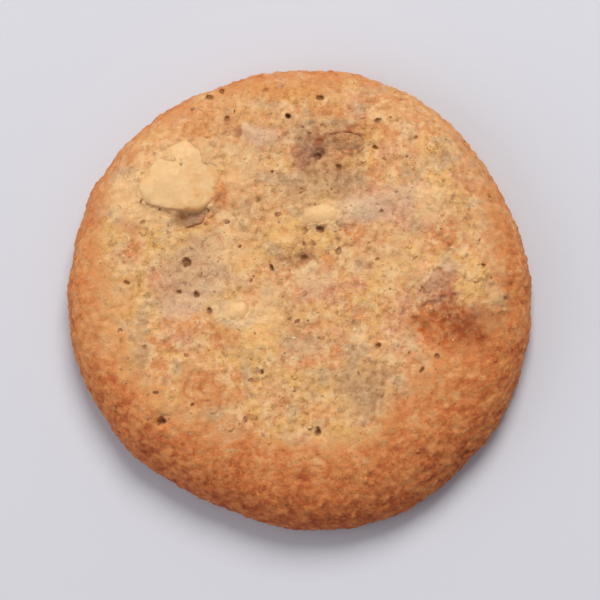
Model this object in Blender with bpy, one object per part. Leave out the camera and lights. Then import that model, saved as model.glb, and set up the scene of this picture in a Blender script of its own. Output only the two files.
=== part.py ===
"""One flat almond biscuit, baked with chopped almonds in the dough.

It lies on its flat underside, on Z = 0, with +Z up. The origin is the middle of its footprint. All sizes
are in metres. The dough is a cube that is cut into a fine grid and rounded into a low disc: the cube's
top becomes the plateau and the shoulder, its sides the tucked-in foot, and its bottom the flat underside.
The almond pieces that stick out of the crust are fused into the dough by one Boolean union.
"""

from math import atan2, cos, hypot, pi, radians, sin, sqrt

import bmesh
import bpy
import numpy as np
from mathutils import Euler, Matrix, Vector, noise

# Size of the biscuit
RADIUS = 0.0250
CROWN_HEIGHT = 0.0078
# The outline's slow bulges: how many round the rim, share of the radius, and direction in degrees
OUTLINE_BULGES = ((1, 0.006, 106), (2, 0.017, 142), (3, 0.011, 60), (5, 0.008, 67))
RIM_CRINKLE = 0.00028
RIM_CRINKLE_LENGTH = 0.0046

# The profile: a plateau, then a shoulder that falls to the widest point, then a foot that tucks in
WIDEST_HEIGHT = 0.0021
FOOT_TUCK = 0.0011
FOOT_SQUARENESS = 2.4
SHOULDER_SQUARENESS = 2.15
PLATEAU_SHARE = 0.70
# The shoulder is broader on one side, where the dough ran before it set
BROAD_SIDE = radians(312)
BROAD_SIDE_GAIN = 0.13
TILT = 0.0004

# The crust's own unevenness
SWELL = 0.00042
SWELL_LENGTH = 0.0105
RIPPLE = 0.00018
RIPPLE_LENGTH = 0.0036
SINK = 0.00045
SINK_RADIUS = 0.013

# Grid cells along the cube's top edge and up its side
TOP_CELLS = 58
FOOT_CELLS = 4
PROFILE_STEPS = 64

# Rounded swellings over almonds that lie under the crust, and hollows beside them:
# x, y, half length, half width, turn in degrees, height
SWELLINGS = (
    (-0.0126, 0.0133, 0.0062, 0.0056, 20, 0.00060),
    (-0.0040, -0.0051, 0.0034, 0.0038, 15, 0.00050),
    (0.0169, -0.0017, 0.0042, 0.0038, 30, 0.00105),
    (0.0078, 0.0097, 0.0036, 0.0018, 15, 0.00030),
    (-0.0038, 0.0171, 0.0028, 0.0022, 0, 0.00030),
    (0.0068, -0.0091, 0.0030, 0.0024, 40, 0.00028),
    (-0.0159, -0.0122, 0.0040, 0.0026, 120, 0.00035),
)
HOLLOWS = (
    (-0.0112, 0.0081, 0.0026, 0.0014, 20, 0.00075),
    (0.0040, 0.0165, 0.0052, 0.0026, 4, 0.00085),
    (0.0134, -0.0043, 0.0026, 0.0012, -60, 0.00050),
    (-0.0118, -0.0001, 0.0034, 0.0026, 0, 0.00035),
    (0.0008, 0.0039, 0.0018, 0.0010, 20, 0.00045),
    (-0.0144, -0.0135, 0.0011, 0.0010, 0, 0.00070),
    (0.0024, -0.0148, 0.0010, 0.0012, 0, 0.00060),
)

# Almond pieces that show: name, x, y, half length, half width, half depth, turn, tip in degrees, and how
# far the piece's top stands above the crust round it
ALMONDS = (
    ("large_half", -0.0127, 0.0128, 0.0050, 0.0046, 0.0027, 40, -6, 0.00100),
    ("sliver", 0.0031, 0.0089, 0.0034, 0.0016, 0.0010, 4, 0, 0.00050),
    ("yellow_chip", -0.0064, -0.0019, 0.0021, 0.0014, 0.0011, -20, 10, 0.00055),
    ("skinned_piece", 0.0048, 0.0162, 0.0038, 0.0018, 0.0014, 2, -6, 0.00050),
    ("hollow_flake", -0.0114, 0.0083, 0.0025, 0.0012, 0.0009, 26, -15, 0.00030),
    ("rim_cap", 0.0158, 0.0005, 0.0026, 0.0020, 0.0015, 60, 12, 0.00060),
    ("cream_chip", 0.0186, 0.0017, 0.0019, 0.0014, 0.0010, 20, 0, 0.00045),
    ("edge_flake", 0.0211, -0.0006, 0.0017, 0.0012, 0.0009, 80, 14, 0.00035),
    ("pale_chip", 0.0154, 0.0101, 0.0017, 0.0013, 0.0010, 65, 5, 0.00035),
)
ALMOND_ROUNDS = 2
# Each piece is chopped by a few planes, which lie at these shares of its half size from its middle
CHOP_PLANES = 7
CHOP_SEED = 55
CHOP_LEAST = 0.62
CHOP_MOST = 0.86
# How flat a cut is: 1 is a plane, less leaves it a little domed
CHOP_FLATNESS = 0.86

CRUST_COLOUR = (0.66, 0.36, 0.16, 1.0)
CRUST_ROUGHNESS = 0.82
SMOOTH_BELOW = radians(40)


def clear_scene():
    for obj in list(bpy.data.objects):
        bpy.data.objects.remove(obj, do_unlink=True)


def make_collection(name):
    collection = bpy.data.collections.new(name)
    bpy.context.scene.collection.children.link(collection)
    return collection


def make_crust_material():
    material = bpy.data.materials.new("baked_crust")
    material.use_nodes = True
    shader = material.node_tree.nodes["Principled BSDF"]
    shader.inputs["Base Color"].default_value = CRUST_COLOUR
    shader.inputs["Roughness"].default_value = CRUST_ROUGHNESS
    shader.inputs["Metallic"].default_value = 0.0
    return material


def wave(x, y, z, length, octaves, layer):
    """Smooth noise of about -1 to 1 whose lumps are about `length` across."""
    spot = Vector((x, y, z)) / length + Vector((0.0, 0.0, 17.3 * layer))
    return noise.fractal(spot, 0.9, 2.1, octaves, noise_basis="PERLIN_ORIGINAL")


def outline_radius(angle):
    """The rim's distance from the middle, looking down."""
    bulge = sum(share * cos(count * (angle - radians(way))) for count, share, way in OUTLINE_BULGES)
    smooth = RADIUS * (1.0 + bulge)
    crinkle = wave(smooth * cos(angle), smooth * sin(angle), 0.0, RIM_CRINKLE_LENGTH, 2, 1)
    return smooth + RIM_CRINKLE * crinkle


def dome_share(x, y, patch):
    """1 at the middle of an oval patch, falling smoothly to 0 at its edge."""
    centre_x, centre_y, half_long, half_wide, turn = patch[:5]
    along = radians(turn)
    dx, dy = x - centre_x, y - centre_y
    u = (dx * cos(along) + dy * sin(along)) / half_long
    v = (dy * cos(along) - dx * sin(along)) / half_wide
    return max(0.0, 1.0 - 0.5 * (u * u + v * v)) ** 3


def relief(x, y):
    """How far the crust stands above or below the plain profile at a place on the top."""
    rise = SWELL * wave(x, y, 0.0, SWELL_LENGTH, 2, 2) + RIPPLE * wave(x, y, 0.0, RIPPLE_LENGTH, 3, 3)
    rise -= SINK * max(0.0, 1.0 - (hypot(x, y) / SINK_RADIUS) ** 2) ** 2
    rise += TILT * (x * cos(BROAD_SIDE) + y * sin(BROAD_SIDE)) / RADIUS
    rise += sum(patch[5] * dome_share(x, y, patch) for patch in SWELLINGS)
    rise -= sum(patch[5] * dome_share(x, y, patch) for patch in HOLLOWS)
    return rise


def shoulder_line(angle):
    """The profile from the middle of the top to the widest point, as radius and height, evenly spaced."""
    rim = outline_radius(angle)
    start = rim * (PLATEAU_SHARE - BROAD_SIDE_GAIN * cos(angle - BROAD_SIDE))
    turn = np.linspace(0.0, pi / 2, PROFILE_STEPS)
    power = 2.0 / SHOULDER_SQUARENESS
    out = start + (rim - start) * np.sin(turn) ** power
    height = WIDEST_HEIGHT + (CROWN_HEIGHT - WIDEST_HEIGHT) * np.cos(turn).clip(0.0) ** power
    radius = np.concatenate([[0.0], out])
    height = np.concatenate([[CROWN_HEIGHT], height])
    length = np.concatenate([[0.0], np.cumsum(np.hypot(np.diff(radius), np.diff(height)))])
    return length / length[-1], radius, height


def top_point(u, v):
    """A point of the cube's top, with u and v from -1 to 1, laid on the plateau or the shoulder."""
    disc_x, disc_y = u * sqrt(1.0 - v * v / 2.0), v * sqrt(1.0 - u * u / 2.0)
    angle = atan2(disc_y, disc_x)
    share, radii, heights = shoulder_line(angle)
    along = min(1.0, hypot(disc_x, disc_y))
    radius, height = np.interp(along, share, radii), np.interp(along, share, heights)
    x, y = radius * cos(angle), radius * sin(angle)
    lift = (height - WIDEST_HEIGHT) / (CROWN_HEIGHT - WIDEST_HEIGHT)
    return Vector((x, y, height + relief(x, y) * lift))


def foot_point(u, v, down):
    """A point of the cube's side: down is 0 at the widest point and 1 on the underside."""
    angle = atan2(v * sqrt(1.0 - u * u / 2.0), u * sqrt(1.0 - v * v / 2.0))
    turn = down * pi / 2
    power = 2.0 / FOOT_SQUARENESS
    radius = outline_radius(angle) - FOOT_TUCK * (1.0 - max(0.0, cos(turn)) ** power)
    height = WIDEST_HEIGHT * (1.0 - sin(turn) ** power)
    return Vector((radius * cos(angle), radius * sin(angle), height))


def underside_point(u, v):
    disc_x, disc_y = u * sqrt(1.0 - v * v / 2.0), v * sqrt(1.0 - u * u / 2.0)
    angle = atan2(disc_y, disc_x)
    radius = (outline_radius(angle) - FOOT_TUCK) * hypot(disc_x, disc_y)
    return Vector((radius * cos(angle), radius * sin(angle), 0.0))


def make_dough(collection, material):
    """The cube, cut into cells and rounded into the biscuit."""
    shape = bmesh.new()
    bmesh.ops.create_cube(shape, size=2.0)
    upright = [edge for edge in shape.edges if abs(edge.verts[0].co.z - edge.verts[1].co.z) > 1.0]
    level = [edge for edge in shape.edges if edge not in upright]
    bmesh.ops.subdivide_edges(shape, edges=level, cuts=TOP_CELLS - 1, use_grid_fill=True)
    upright = [edge for edge in shape.edges if abs(edge.verts[0].co.z - edge.verts[1].co.z) > 1.0]
    bmesh.ops.subdivide_edges(shape, edges=upright, cuts=FOOT_CELLS - 1, use_grid_fill=True)
    for vert in shape.verts:
        u, v, w = vert.co
        if w > 0.999:
            vert.co = top_point(u, v)
        elif w < -0.999:
            vert.co = underside_point(u, v)
        else:
            vert.co = foot_point(u, v, (1.0 - w) / 2.0)
    flat = [face for face in shape.faces if all(vert.co.z < 1e-7 for vert in face.verts)]
    bmesh.ops.dissolve_faces(shape, faces=flat, use_verts=True)
    bmesh.ops.triangulate(shape, faces=[face for face in shape.faces if len(face.verts) > 4])
    mesh = bpy.data.meshes.new("biscuit")
    shape.to_mesh(mesh)
    shape.free()
    mesh.materials.append(material)
    dough = bpy.data.objects.new("biscuit", mesh)
    collection.objects.link(dough)
    return dough


def make_almond(collection, almond, number):
    """A chopped piece: a ball cut flat by a few planes, squeezed, turned, and set into the crust."""
    name, x, y, half_long, half_wide, half_deep, turn, tip, stands = almond
    chance = np.random.RandomState(CHOP_SEED + number)
    shape = bmesh.new()
    bmesh.ops.create_icosphere(shape, subdivisions=ALMOND_ROUNDS, radius=1.0)
    for _ in range(CHOP_PLANES):
        facing = Vector(chance.normal(size=3)).normalized()
        reach = chance.uniform(CHOP_LEAST, CHOP_MOST)
        for vert in shape.verts:
            beyond = vert.co.dot(facing) - reach
            if beyond > 0.0:
                vert.co -= facing * beyond * CHOP_FLATNESS
    size = Matrix.Diagonal((half_long, half_wide, half_deep, 1.0))
    pose = Euler((radians(tip), radians(tip / 2), radians(turn))).to_matrix().to_4x4()
    bmesh.ops.transform(shape, matrix=pose @ size, verts=shape.verts)
    top = max(vert.co.z for vert in shape.verts)
    crust = top_height(x, y)
    bmesh.ops.translate(shape, vec=(x, y, crust + stands - top), verts=shape.verts)
    mesh = bpy.data.meshes.new(name)
    shape.to_mesh(mesh)
    shape.free()
    piece = bpy.data.objects.new(name, mesh)
    collection.objects.link(piece)
    return piece


def top_height(x, y):
    """The crust's height above the underside at a place on the top."""
    angle = atan2(y, x)
    _, radii, heights = shoulder_line(angle)
    height = np.interp(hypot(x, y), radii, heights)
    lift = (height - WIDEST_HEIGHT) / (CROWN_HEIGHT - WIDEST_HEIGHT)
    return height + relief(x, y) * lift


def fuse(dough, almonds):
    """Joins the almonds to the dough and removes them, so that the biscuit is one body."""
    join = dough.modifiers.new("almonds", "BOOLEAN")
    join.operation = "UNION"
    join.operand_type = "COLLECTION"
    join.collection = almonds
    join.solver = "EXACT"
    graph = bpy.context.evaluated_depsgraph_get()
    fused = bpy.data.meshes.new_from_object(dough.evaluated_get(graph))
    dough.modifiers.remove(join)
    dough.data = fused
    for piece in list(almonds.objects):
        bpy.data.objects.remove(piece, do_unlink=True)
    bpy.data.collections.remove(almonds)


def centre(dough):
    """Slides the biscuit so that the middle of its footprint is the origin."""
    spots = np.array([vert.co for vert in dough.data.vertices])
    middle = (spots.min(axis=0) + spots.max(axis=0)) / 2.0
    dough.data.transform(Matrix.Translation((-middle[0], -middle[1], 0.0)))


def main():
    clear_scene()
    food = make_collection("almond_biscuit")
    almonds = make_collection("almonds")
    dough = make_dough(food, make_crust_material())
    for number, almond in enumerate(ALMONDS):
        make_almond(almonds, almond, number)
    fuse(dough, almonds)
    centre(dough)
    dough.data.shade_smooth()
    dough.data.set_sharp_from_angle(angle=SMOOTH_BELOW)


main()
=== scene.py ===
"""The looks of one flat almond biscuit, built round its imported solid.

The dough is one fine mesh with the solid's own form, and a crust of crumb, grain and pores that grows on it.
The chopped almonds poke through it where the solid has them. Grains, crumbs, almond meal and bits of skin are
scattered over it. All sizes are in metres, with +Z up and the underside on Z = 0.
"""

from functools import reduce
from math import atan2, cos, hypot, pi, radians, sin, sqrt

import bmesh
import bpy
import numpy as np
from bpy.props import FloatProperty, FloatVectorProperty, IntProperty, PointerProperty
from mathutils import Euler, Matrix, Vector, noise
from mathutils.bvhtree import BVHTree


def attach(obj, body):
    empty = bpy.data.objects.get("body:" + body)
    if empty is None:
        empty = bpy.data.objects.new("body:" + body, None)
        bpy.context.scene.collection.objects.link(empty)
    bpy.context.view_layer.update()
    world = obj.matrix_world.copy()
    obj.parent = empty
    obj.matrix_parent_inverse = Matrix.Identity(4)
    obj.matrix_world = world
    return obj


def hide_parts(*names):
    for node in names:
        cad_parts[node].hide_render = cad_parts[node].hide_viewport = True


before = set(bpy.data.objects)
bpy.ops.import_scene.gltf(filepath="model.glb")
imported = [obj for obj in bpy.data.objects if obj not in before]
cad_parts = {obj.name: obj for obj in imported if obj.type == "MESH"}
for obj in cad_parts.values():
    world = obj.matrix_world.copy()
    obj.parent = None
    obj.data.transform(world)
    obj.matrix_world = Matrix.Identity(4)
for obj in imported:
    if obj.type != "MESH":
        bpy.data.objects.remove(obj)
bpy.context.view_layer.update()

bl_info = {
    "name": "Almond Biscuit",
    "version": (1, 0, 0),
    "blender": (4, 5, 0),
    "location": "3D View > Sidebar > Biscuit",
    "description": "Bakes one flat almond biscuit with a sandy crust and chopped almonds",
    "category": "Add Mesh",
}

SOLID = "biscuit"

# ---------------------------------------------------------------- the biscuit's form, as its solid has it
RADIUS = 0.0250
CROWN_HEIGHT = 0.0078
OUTLINE_BULGES = ((1, 0.006, 106), (2, 0.017, 142), (3, 0.011, 60), (5, 0.008, 67))
RIM_CRINKLE = 0.00028
RIM_CRINKLE_LENGTH = 0.0046
WIDEST_HEIGHT = 0.0021
FOOT_TUCK = 0.0011
FOOT_SQUARENESS = 2.4
SHOULDER_SQUARENESS = 2.15
PLATEAU_SHARE = 0.70
BROAD_SIDE = radians(312)
BROAD_SIDE_GAIN = 0.13
TILT = 0.0004
SWELL = 0.00042
SWELL_LENGTH = 0.0105
RIPPLE = 0.00018
RIPPLE_LENGTH = 0.0036
SINK = 0.00045
SINK_RADIUS = 0.013
PROFILE_STEPS = 64
FOOTPRINT_STEPS = 721
NOISE_ROUGHNESS, NOISE_FINENESS, NOISE_LAYER = 0.9, 2.1, 17.3

# Rounded swellings over almonds under the crust, and hollows: x, y, half length, half width, turn, height
SWELLINGS = (
    (-0.0126, 0.0133, 0.0062, 0.0056, 20, 0.00060),
    (-0.0040, -0.0051, 0.0034, 0.0038, 15, 0.00050),
    (0.0169, -0.0017, 0.0042, 0.0038, 30, 0.00105),
    (0.0078, 0.0097, 0.0036, 0.0018, 15, 0.00030),
    (-0.0038, 0.0171, 0.0028, 0.0022, 0, 0.00030),
    (0.0068, -0.0091, 0.0030, 0.0024, 40, 0.00028),
    (-0.0159, -0.0122, 0.0040, 0.0026, 120, 0.00035),
)
HOLLOWS = (
    (-0.0112, 0.0081, 0.0026, 0.0014, 20, 0.00075),
    (0.0040, 0.0165, 0.0052, 0.0026, 4, 0.00085),
    (0.0134, -0.0043, 0.0026, 0.0012, -60, 0.00050),
    (-0.0118, -0.0001, 0.0034, 0.0026, 0, 0.00035),
    (0.0008, 0.0039, 0.0018, 0.0010, 20, 0.00045),
    (-0.0144, -0.0135, 0.0011, 0.0010, 0, 0.00070),
    (0.0024, -0.0148, 0.0010, 0.0012, 0, 0.00060),
)

# Almond pieces: name, x, y, half length, half width, half depth, turn, tip, and how far they stand out
ALMONDS = (
    ("large_half", -0.0127, 0.0128, 0.0050, 0.0046, 0.0027, 40, -6, 0.00100),
    ("sliver", 0.0031, 0.0089, 0.0034, 0.0016, 0.0010, 4, 0, 0.00050),
    ("yellow_chip", -0.0064, -0.0019, 0.0021, 0.0014, 0.0011, -20, 10, 0.00055),
    ("skinned_piece", 0.0048, 0.0162, 0.0038, 0.0018, 0.0014, 2, -6, 0.00050),
    ("hollow_flake", -0.0114, 0.0083, 0.0025, 0.0012, 0.0009, 26, -15, 0.00030),
    ("rim_cap", 0.0158, 0.0005, 0.0026, 0.0020, 0.0015, 60, 12, 0.00060),
    ("cream_chip", 0.0186, 0.0017, 0.0019, 0.0014, 0.0010, 20, 0, 0.00045),
    ("edge_flake", 0.0211, -0.0006, 0.0017, 0.0012, 0.0009, 80, 14, 0.00035),
    ("pale_chip", 0.0154, 0.0101, 0.0017, 0.0013, 0.0010, 65, 5, 0.00035),
)
CHOP_PLANES = 7
CHOP_SEED = 55
CHOP_LEAST, CHOP_MOST = 0.62, 0.86
CHOP_FLATNESS = 0.86
# Its corners are broken off by finer cuts, each up to this deep as a share of its half size
CHIPS = 12
CHIP_LEAST, CHIP_MOST = 0.3, 0.11

# ---------------------------------------------------------------- the fine surface
TOP_CELLS = 236
FOOT_CELLS = 8
UNDERSIDE_STEP = 2
ALMOND_ROUNDS = 4

# Pores that stand out: x, y, radius, depth
PORES = (
    (-0.0119, 0.0035, 0.00056, 0.00055), (-0.0061, 0.0052, 0.00038, 0.00050),
    (-0.0027, 0.0029, 0.00036, 0.00048), (0.0008, 0.0039, 0.00046, 0.00042),
    (0.0046, 0.0046, 0.00036, 0.00033), (-0.0183, 0.0015, 0.00034, 0.00032),
    (-0.0126, 0.0004, 0.00030, 0.00040), (-0.0108, 0.0002, 0.00034, 0.00042),
    (-0.0093, -0.0016, 0.00027, 0.00033), (-0.0164, -0.0055, 0.00031, 0.00024),
    (-0.0036, -0.0084, 0.00032, 0.00038), (-0.0012, -0.0064, 0.00025, 0.00034),
    (0.0089, -0.0057, 0.00038, 0.00038), (-0.0144, -0.0135, 0.00050, 0.00055),
    (0.0024, -0.0148, 0.00052, 0.00055), (-0.0111, -0.0119, 0.00027, 0.00028),
    (-0.0095, 0.0217, 0.00044, 0.00050), (-0.0082, 0.0224, 0.00035, 0.00038),
    (-0.0034, 0.0223, 0.00031, 0.00033), (-0.0008, 0.0193, 0.00042, 0.00048),
    (0.0024, 0.0213, 0.00038, 0.00038), (0.0026, 0.0071, 0.00042, 0.00050),
    (0.0201, 0.0028, 0.00032, 0.00033), (0.0135, -0.0085, 0.00036, 0.00038),
    (0.0153, -0.0070, 0.00033, 0.00035), (-0.0166, 0.0079, 0.00034, 0.00028),
    (-0.0074, 0.0191, 0.00031, 0.00033), (0.0023, 0.0150, 0.00036, 0.00045),
    (0.0047, 0.0137, 0.00032, 0.00042), (0.0066, 0.0170, 0.00034, 0.00034),
    (0.0085, 0.0159, 0.00028, 0.00034), (0.0095, 0.0145, 0.00028, 0.00030),
    (0.0089, 0.0187, 0.00040, 0.00030), (0.0093, 0.0088, 0.00028, 0.00032),
    (0.0116, -0.0020, 0.00042, 0.00022),
)

# Where the crust browned, going round: direction in degrees, the share of the radius where the brown starts,
# how wide the change to it is, and how brown it gets. The foot and the underside are brown all round.
BROWN_EDGE = (
    (0, 0.70, 0.20, 0.42), (20, 0.77, 0.18, 0.39), (38, 0.83, 0.16, 0.32), (64, 0.84, 0.16, 0.32),
    (90, 0.78, 0.16, 0.48), (120, 0.80, 0.16, 0.48), (150, 0.82, 0.18, 0.38), (176, 0.61, 0.20, 0.36),
    (192, 0.62, 0.22, 0.39), (205, 0.65, 0.24, 0.56), (225, 0.63, 0.20, 0.63), (245, 0.57, 0.22, 0.66),
    (270, 0.54, 0.17, 0.67), (290, 0.60, 0.13, 0.64), (315, 0.58, 0.11, 0.60), (335, 0.58, 0.12, 0.53),
    (346, 0.62, 0.14, 0.47),
)
# The first share of the brown comes at that change. The other comes slowly, from halfway through the change
# until past the rim.
SHARP_SHARE, SLOW_SHARE = 0.32, 0.68
SLOW_START, SLOW_END = 0.5, 1.06
# Its edge wanders: a share of the radius, with the noise's length, octaves and layer
BAKING_NOISES = ((0.05, (0.0042, 3, 11)), (0.03, (0.0014, 2, 12)))
# A faint flush inside the rim, stronger towards the lower side, and the foot's own brown
FLUSH, FLUSH_LEAN = 0.10, 0.8
FLUSH_START, FLUSH_END = 0.30, 0.85
FOOT_BROWN = 0.24
# The underside's brown, the more that its edge has, its mottle, and its shallow pits, which stayed paler
UNDERSIDE_BROWN, UNDERSIDE_EDGE, UNDERSIDE_MOTTLE = 0.54, 0.22, 2.2
UNDERSIDE_EDGE_START, UNDERSIDE_EDGE_END = 0.60, 0.97
UNDERSIDE_PIT = 0.00022
PIT_PALER = 0.30
PIT_NOISE = (0.0030, 4, 61)
PIT_START, PIT_FULL = 0.10, 0.42
PITS_END = RADIUS - 1.5 * FOOT_TUCK

# How the dough covers an almond: the direction it comes from, the film's thickness, and how far it reaches,
# from -1 where it leaves the almond bare to 1 where it hides it. The film ends in a rounded lip.
COVERED = {
    "large_half": (60, 0.00018, -0.30),
    "sliver": (20, 0.00010, -0.40),
    "yellow_chip": (270, 0.00010, -0.28),
    "skinned_piece": (-85, 0.00009, 0.02),
    "rim_cap": (150, 0.00010, 0.90),
    "cream_chip": (60, 0.00012, 0.00),
    "edge_flake": (0, 0.00012, 0.30),
    "pale_chip": (90, 0.00012, 0.10),
}

# Crisp recesses in the crust by a piece of skin: x, y, half length, half width, turn, depth
RECESSES = (
    (0.0050, 0.0154, 0.0040, 0.0023, 0, 0.00034),
    (-0.0114, 0.0082, 0.0022, 0.0011, 24, 0.00030),
    (0.0136, -0.0041, 0.0019, 0.0008, -58, 0.00026),
)

# The dough laps up an almond's side, higher at a long one, on the side that it covers the almond from, and
# most where it covers the almond. It is ragged, and ends this many half lengths and laps away.
LAP_GROWTH = 0.0045
LAP_WIDTH = 1.4
LAP_LEAST, LAP_LEAN = 0.65, 0.35
LAP_LEAN_START, LAP_LEAN_END = -0.9, 0.3
BLANKET = 0.80
BLANKET_START, BLANKET_END = 0.2, 0.8
LAP_EVEN, LAP_RAGGED = 0.75, 0.9
LAP_NOISE = (0.0009, 3, 31)
LAP_FAR, LAPS_FAR = 1.3, 5.0
# The film that covers an almond is more on one side. Its edge wanders in bays of a share of the almond, and
# its lip is this wide.
COVER_LEAN = 0.60
LIP_WANDER = 0.50
LIP_BAYS, LIP_DETAIL = 0.55, (3, 33)
LIP_WIDTH = 0.30
# How far under the dough an almond still shows, and how strongly it tints a very thin film
THIN_FILM = 0.00030
SHOWS_THROUGH = 0.85
# A height above everything, from which to look down on an almond
LOOK_DOWN_FROM = 0.03

# A large pore is a little oval, turned by chance, with an uneven rim. It is painted with shade, more the
# deeper it is, and fully at one depth.
PORE_NARROWNESS = 0.86
PORE_TURNS = 9000.0
PORE_WANDER = 0.62
PORE_NOISE = (0.0007, 3, 35)
PORE_FLOOR, PORE_REACH = 0.35, 2.0
FULL_SHADE_PORE_DEPTH = 0.00050
# A recess's floor ends at the first share of its size, and its edge at the second
RECESS_FLOOR, RECESS_END = 0.82, 1.06
RECESS_WANDER = 0.25
RECESS_NOISE = (0.0011, 3, 37)
# The dough's faces are cut smaller this near an almond or past a pore's rim, inside a circle of this many of
# its half lengths or radii and as much more
NEAR_ALMOND, NEAR_PORE = 0.00045, 0.00010
ALMOND_ROOM, PORE_ROOM = 1.2, 1.15

# Almonds with a half length over this are cut finer and smoothed more. All have dents, and chips at their
# edges.
LARGE_ALMOND = 0.0035
CHIP_DEPTH = 0.00035
CHIP_START, CHIP_FULL, CHIP_EDGE = 0.05, 0.6, 3.0
DENT_DEPTH = 0.00013
FACE_ROUGHNESS = 0.00003
FLESH_RIDGES, SKIN_RIDGES = 0.000012, 0.00002
RIDGE_STRETCH = 3.0
RIDGE_NOISE = (0.00035, 2, 6)
# The noises of their toasting, grit, dents and chips: length, octaves and layer, with more layers for each
ALMOND_NOISES = ((0.0021, 2, 40), (0.0007, 3, 5), (0.0022, 2, 70), (0.0011, 3, 60))
# How much an almond toasted at its edges, in patches and at its top
TOASTED_EDGE, TOASTED_PATCH, TOASTED_TOP = 1.3, 0.35, 0.12
# The side of an almond that is browner, as a direction, and how much more. On the large half this is partly a
# painted highlight, which keeps its other side pale.
TOASTED_SIDE_AND_PAINTED_LIGHT = {"large_half": (15, 0.42), "yellow_chip": (250, 0.20)}
SKINNED = ("skinned_piece", "hollow_flake", "rim_cap")
# How dark an almond is next to the others of its kind, from -1 to 1
TONES = {"rim_cap": -0.5, "hollow_flake": -0.6, "skinned_piece": 0.30, "edge_flake": 0.7, "sliver": -0.5}
TOASTED_HEIGHT = 0.0008
# Dust of dough lies on an almond, thick up to one height above the crust, and none from another
DUST_START, DUST_HEIGHT = 0.0001, 0.00050
DUST_WANDER = 0.0003
DUST_NOISE = (0.0012, 3, 50)

# The crumb's lumps and rolls, as shares of its height
LUMP_SHARE, ROLL_SHARE = 0.42, 0.58
# How the crumb's lumps and the specks are bent out of shape: the noise's scale, its detail, and how far
CRUMB_SWAY, SPECK_SWAY = (850.0, 2.0, 0.0007), (2200.0, 1.0, 0.0005)
# Small pores: share of the pore spacing, least and most size in that, share of places with one, and a shift
PORE_LAYERS = ((1.0, 0.10, 0.24, 0.50, 0.0), (2.3, 0.07, 0.17, 0.32, 0.4))
# How strongly the small pores are painted with shade
SMALL_PORE_SHADE = 0.75
# Strewn bits: the area that they are counted over, the scale and strength of their clumps, and the least and
# most that one is stretched
TOP_AREA = pi * RADIUS**2
CLUMP_SCALE, CLUMP_STRENGTH = 420.0, 5.0
BIT_LEAST, BIT_MOST = 0.65, 1.25
# What is added to the seed for each further draw
TUMBLE_SEED, SHAPE_SEED, TONE_SEED = 7.0, 13.0, 19.0

# The stage: the camera leans over the broad side, and the frame's width holds the biscuit with some floor
LEAN = 9.0
LEAN_WAY = -52.0
CAMERA_DISTANCE = 0.60
TARGET = (0.00043, -0.00038, 0.005)
FRAME_WIDTH = 0.0645
FLOOR_HALF = 1.5
FLOOR_HEIGHT = -0.00003
FLOOR_ROUGHNESS, FLOOR_GLOSS = 0.6, 0.2
SKY, SKY_STRENGTH = (0.86, 0.88, 0.95), 0.42

# The lamps: name, place, width, power and colour
LAMPS = (
    ("window", (0.09, 0.36, 0.52), 0.34, 3.3, (1.0, 0.975, 0.94)),
    ("bounce", (-0.46, -0.10, 0.30), 0.5, 0.85, (0.97, 0.97, 1.0)),
)

# The UV map: the top and foot are one disc, the underside another. The foot adds this share to the top's.
FOOT_REACH = 0.10
TOP_DISC, TOP_DISC_MIDDLE = 0.385, 0.395
UNDERSIDE_DISC, UNDERSIDE_DISC_MIDDLE = 0.190, 0.800


def srgb(red, green, blue):
    """A colour as a screen shows it, 0 to 255, as the linear light that Blender mixes."""
    parts = [part / 255.0 for part in (red, green, blue)]
    return tuple(part / 12.92 if part <= 0.04045 else ((part + 0.055) / 1.055) ** 2.4 for part in parts)


# Stains in the crust. Almond and skin just under it tint it cream, lavender or grey, singed spots are brown,
# and some are painted shade. A stain's edge wanders by a share of its size and fades between two more shares.
STAIN_WANDER, STAIN_NOISE = 0.34, (0.0019, 4, 21)
STAIN_FULL, STAIN_END, STAIN_REACH = 0.40, 1.20, 1.80
# The third colour here is painted shade, not a tint of the dough.
GREY, LAVENDER, PAINTED_SHADE = srgb(200, 164, 128), srgb(216, 180, 148), srgb(148, 100, 66)
GREENISH, CREAM, PALE = srgb(184, 144, 100), srgb(240, 196, 140), srgb(232, 184, 130)
# The second colour here is a real brown that also carries painted shade.
SINGED, BROWN_WITH_PAINTED_SHADE, DARK = srgb(208, 120, 60), srgb(168, 84, 38), srgb(96, 60, 44)
MAUVE, YELLOW, BLUISH = srgb(158, 110, 82), srgb(240, 186, 116), srgb(219, 183, 150)
IVORY, RUDDY, AMBER = srgb(232, 202, 158), srgb(186, 118, 82), srgb(208, 140, 78)
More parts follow.
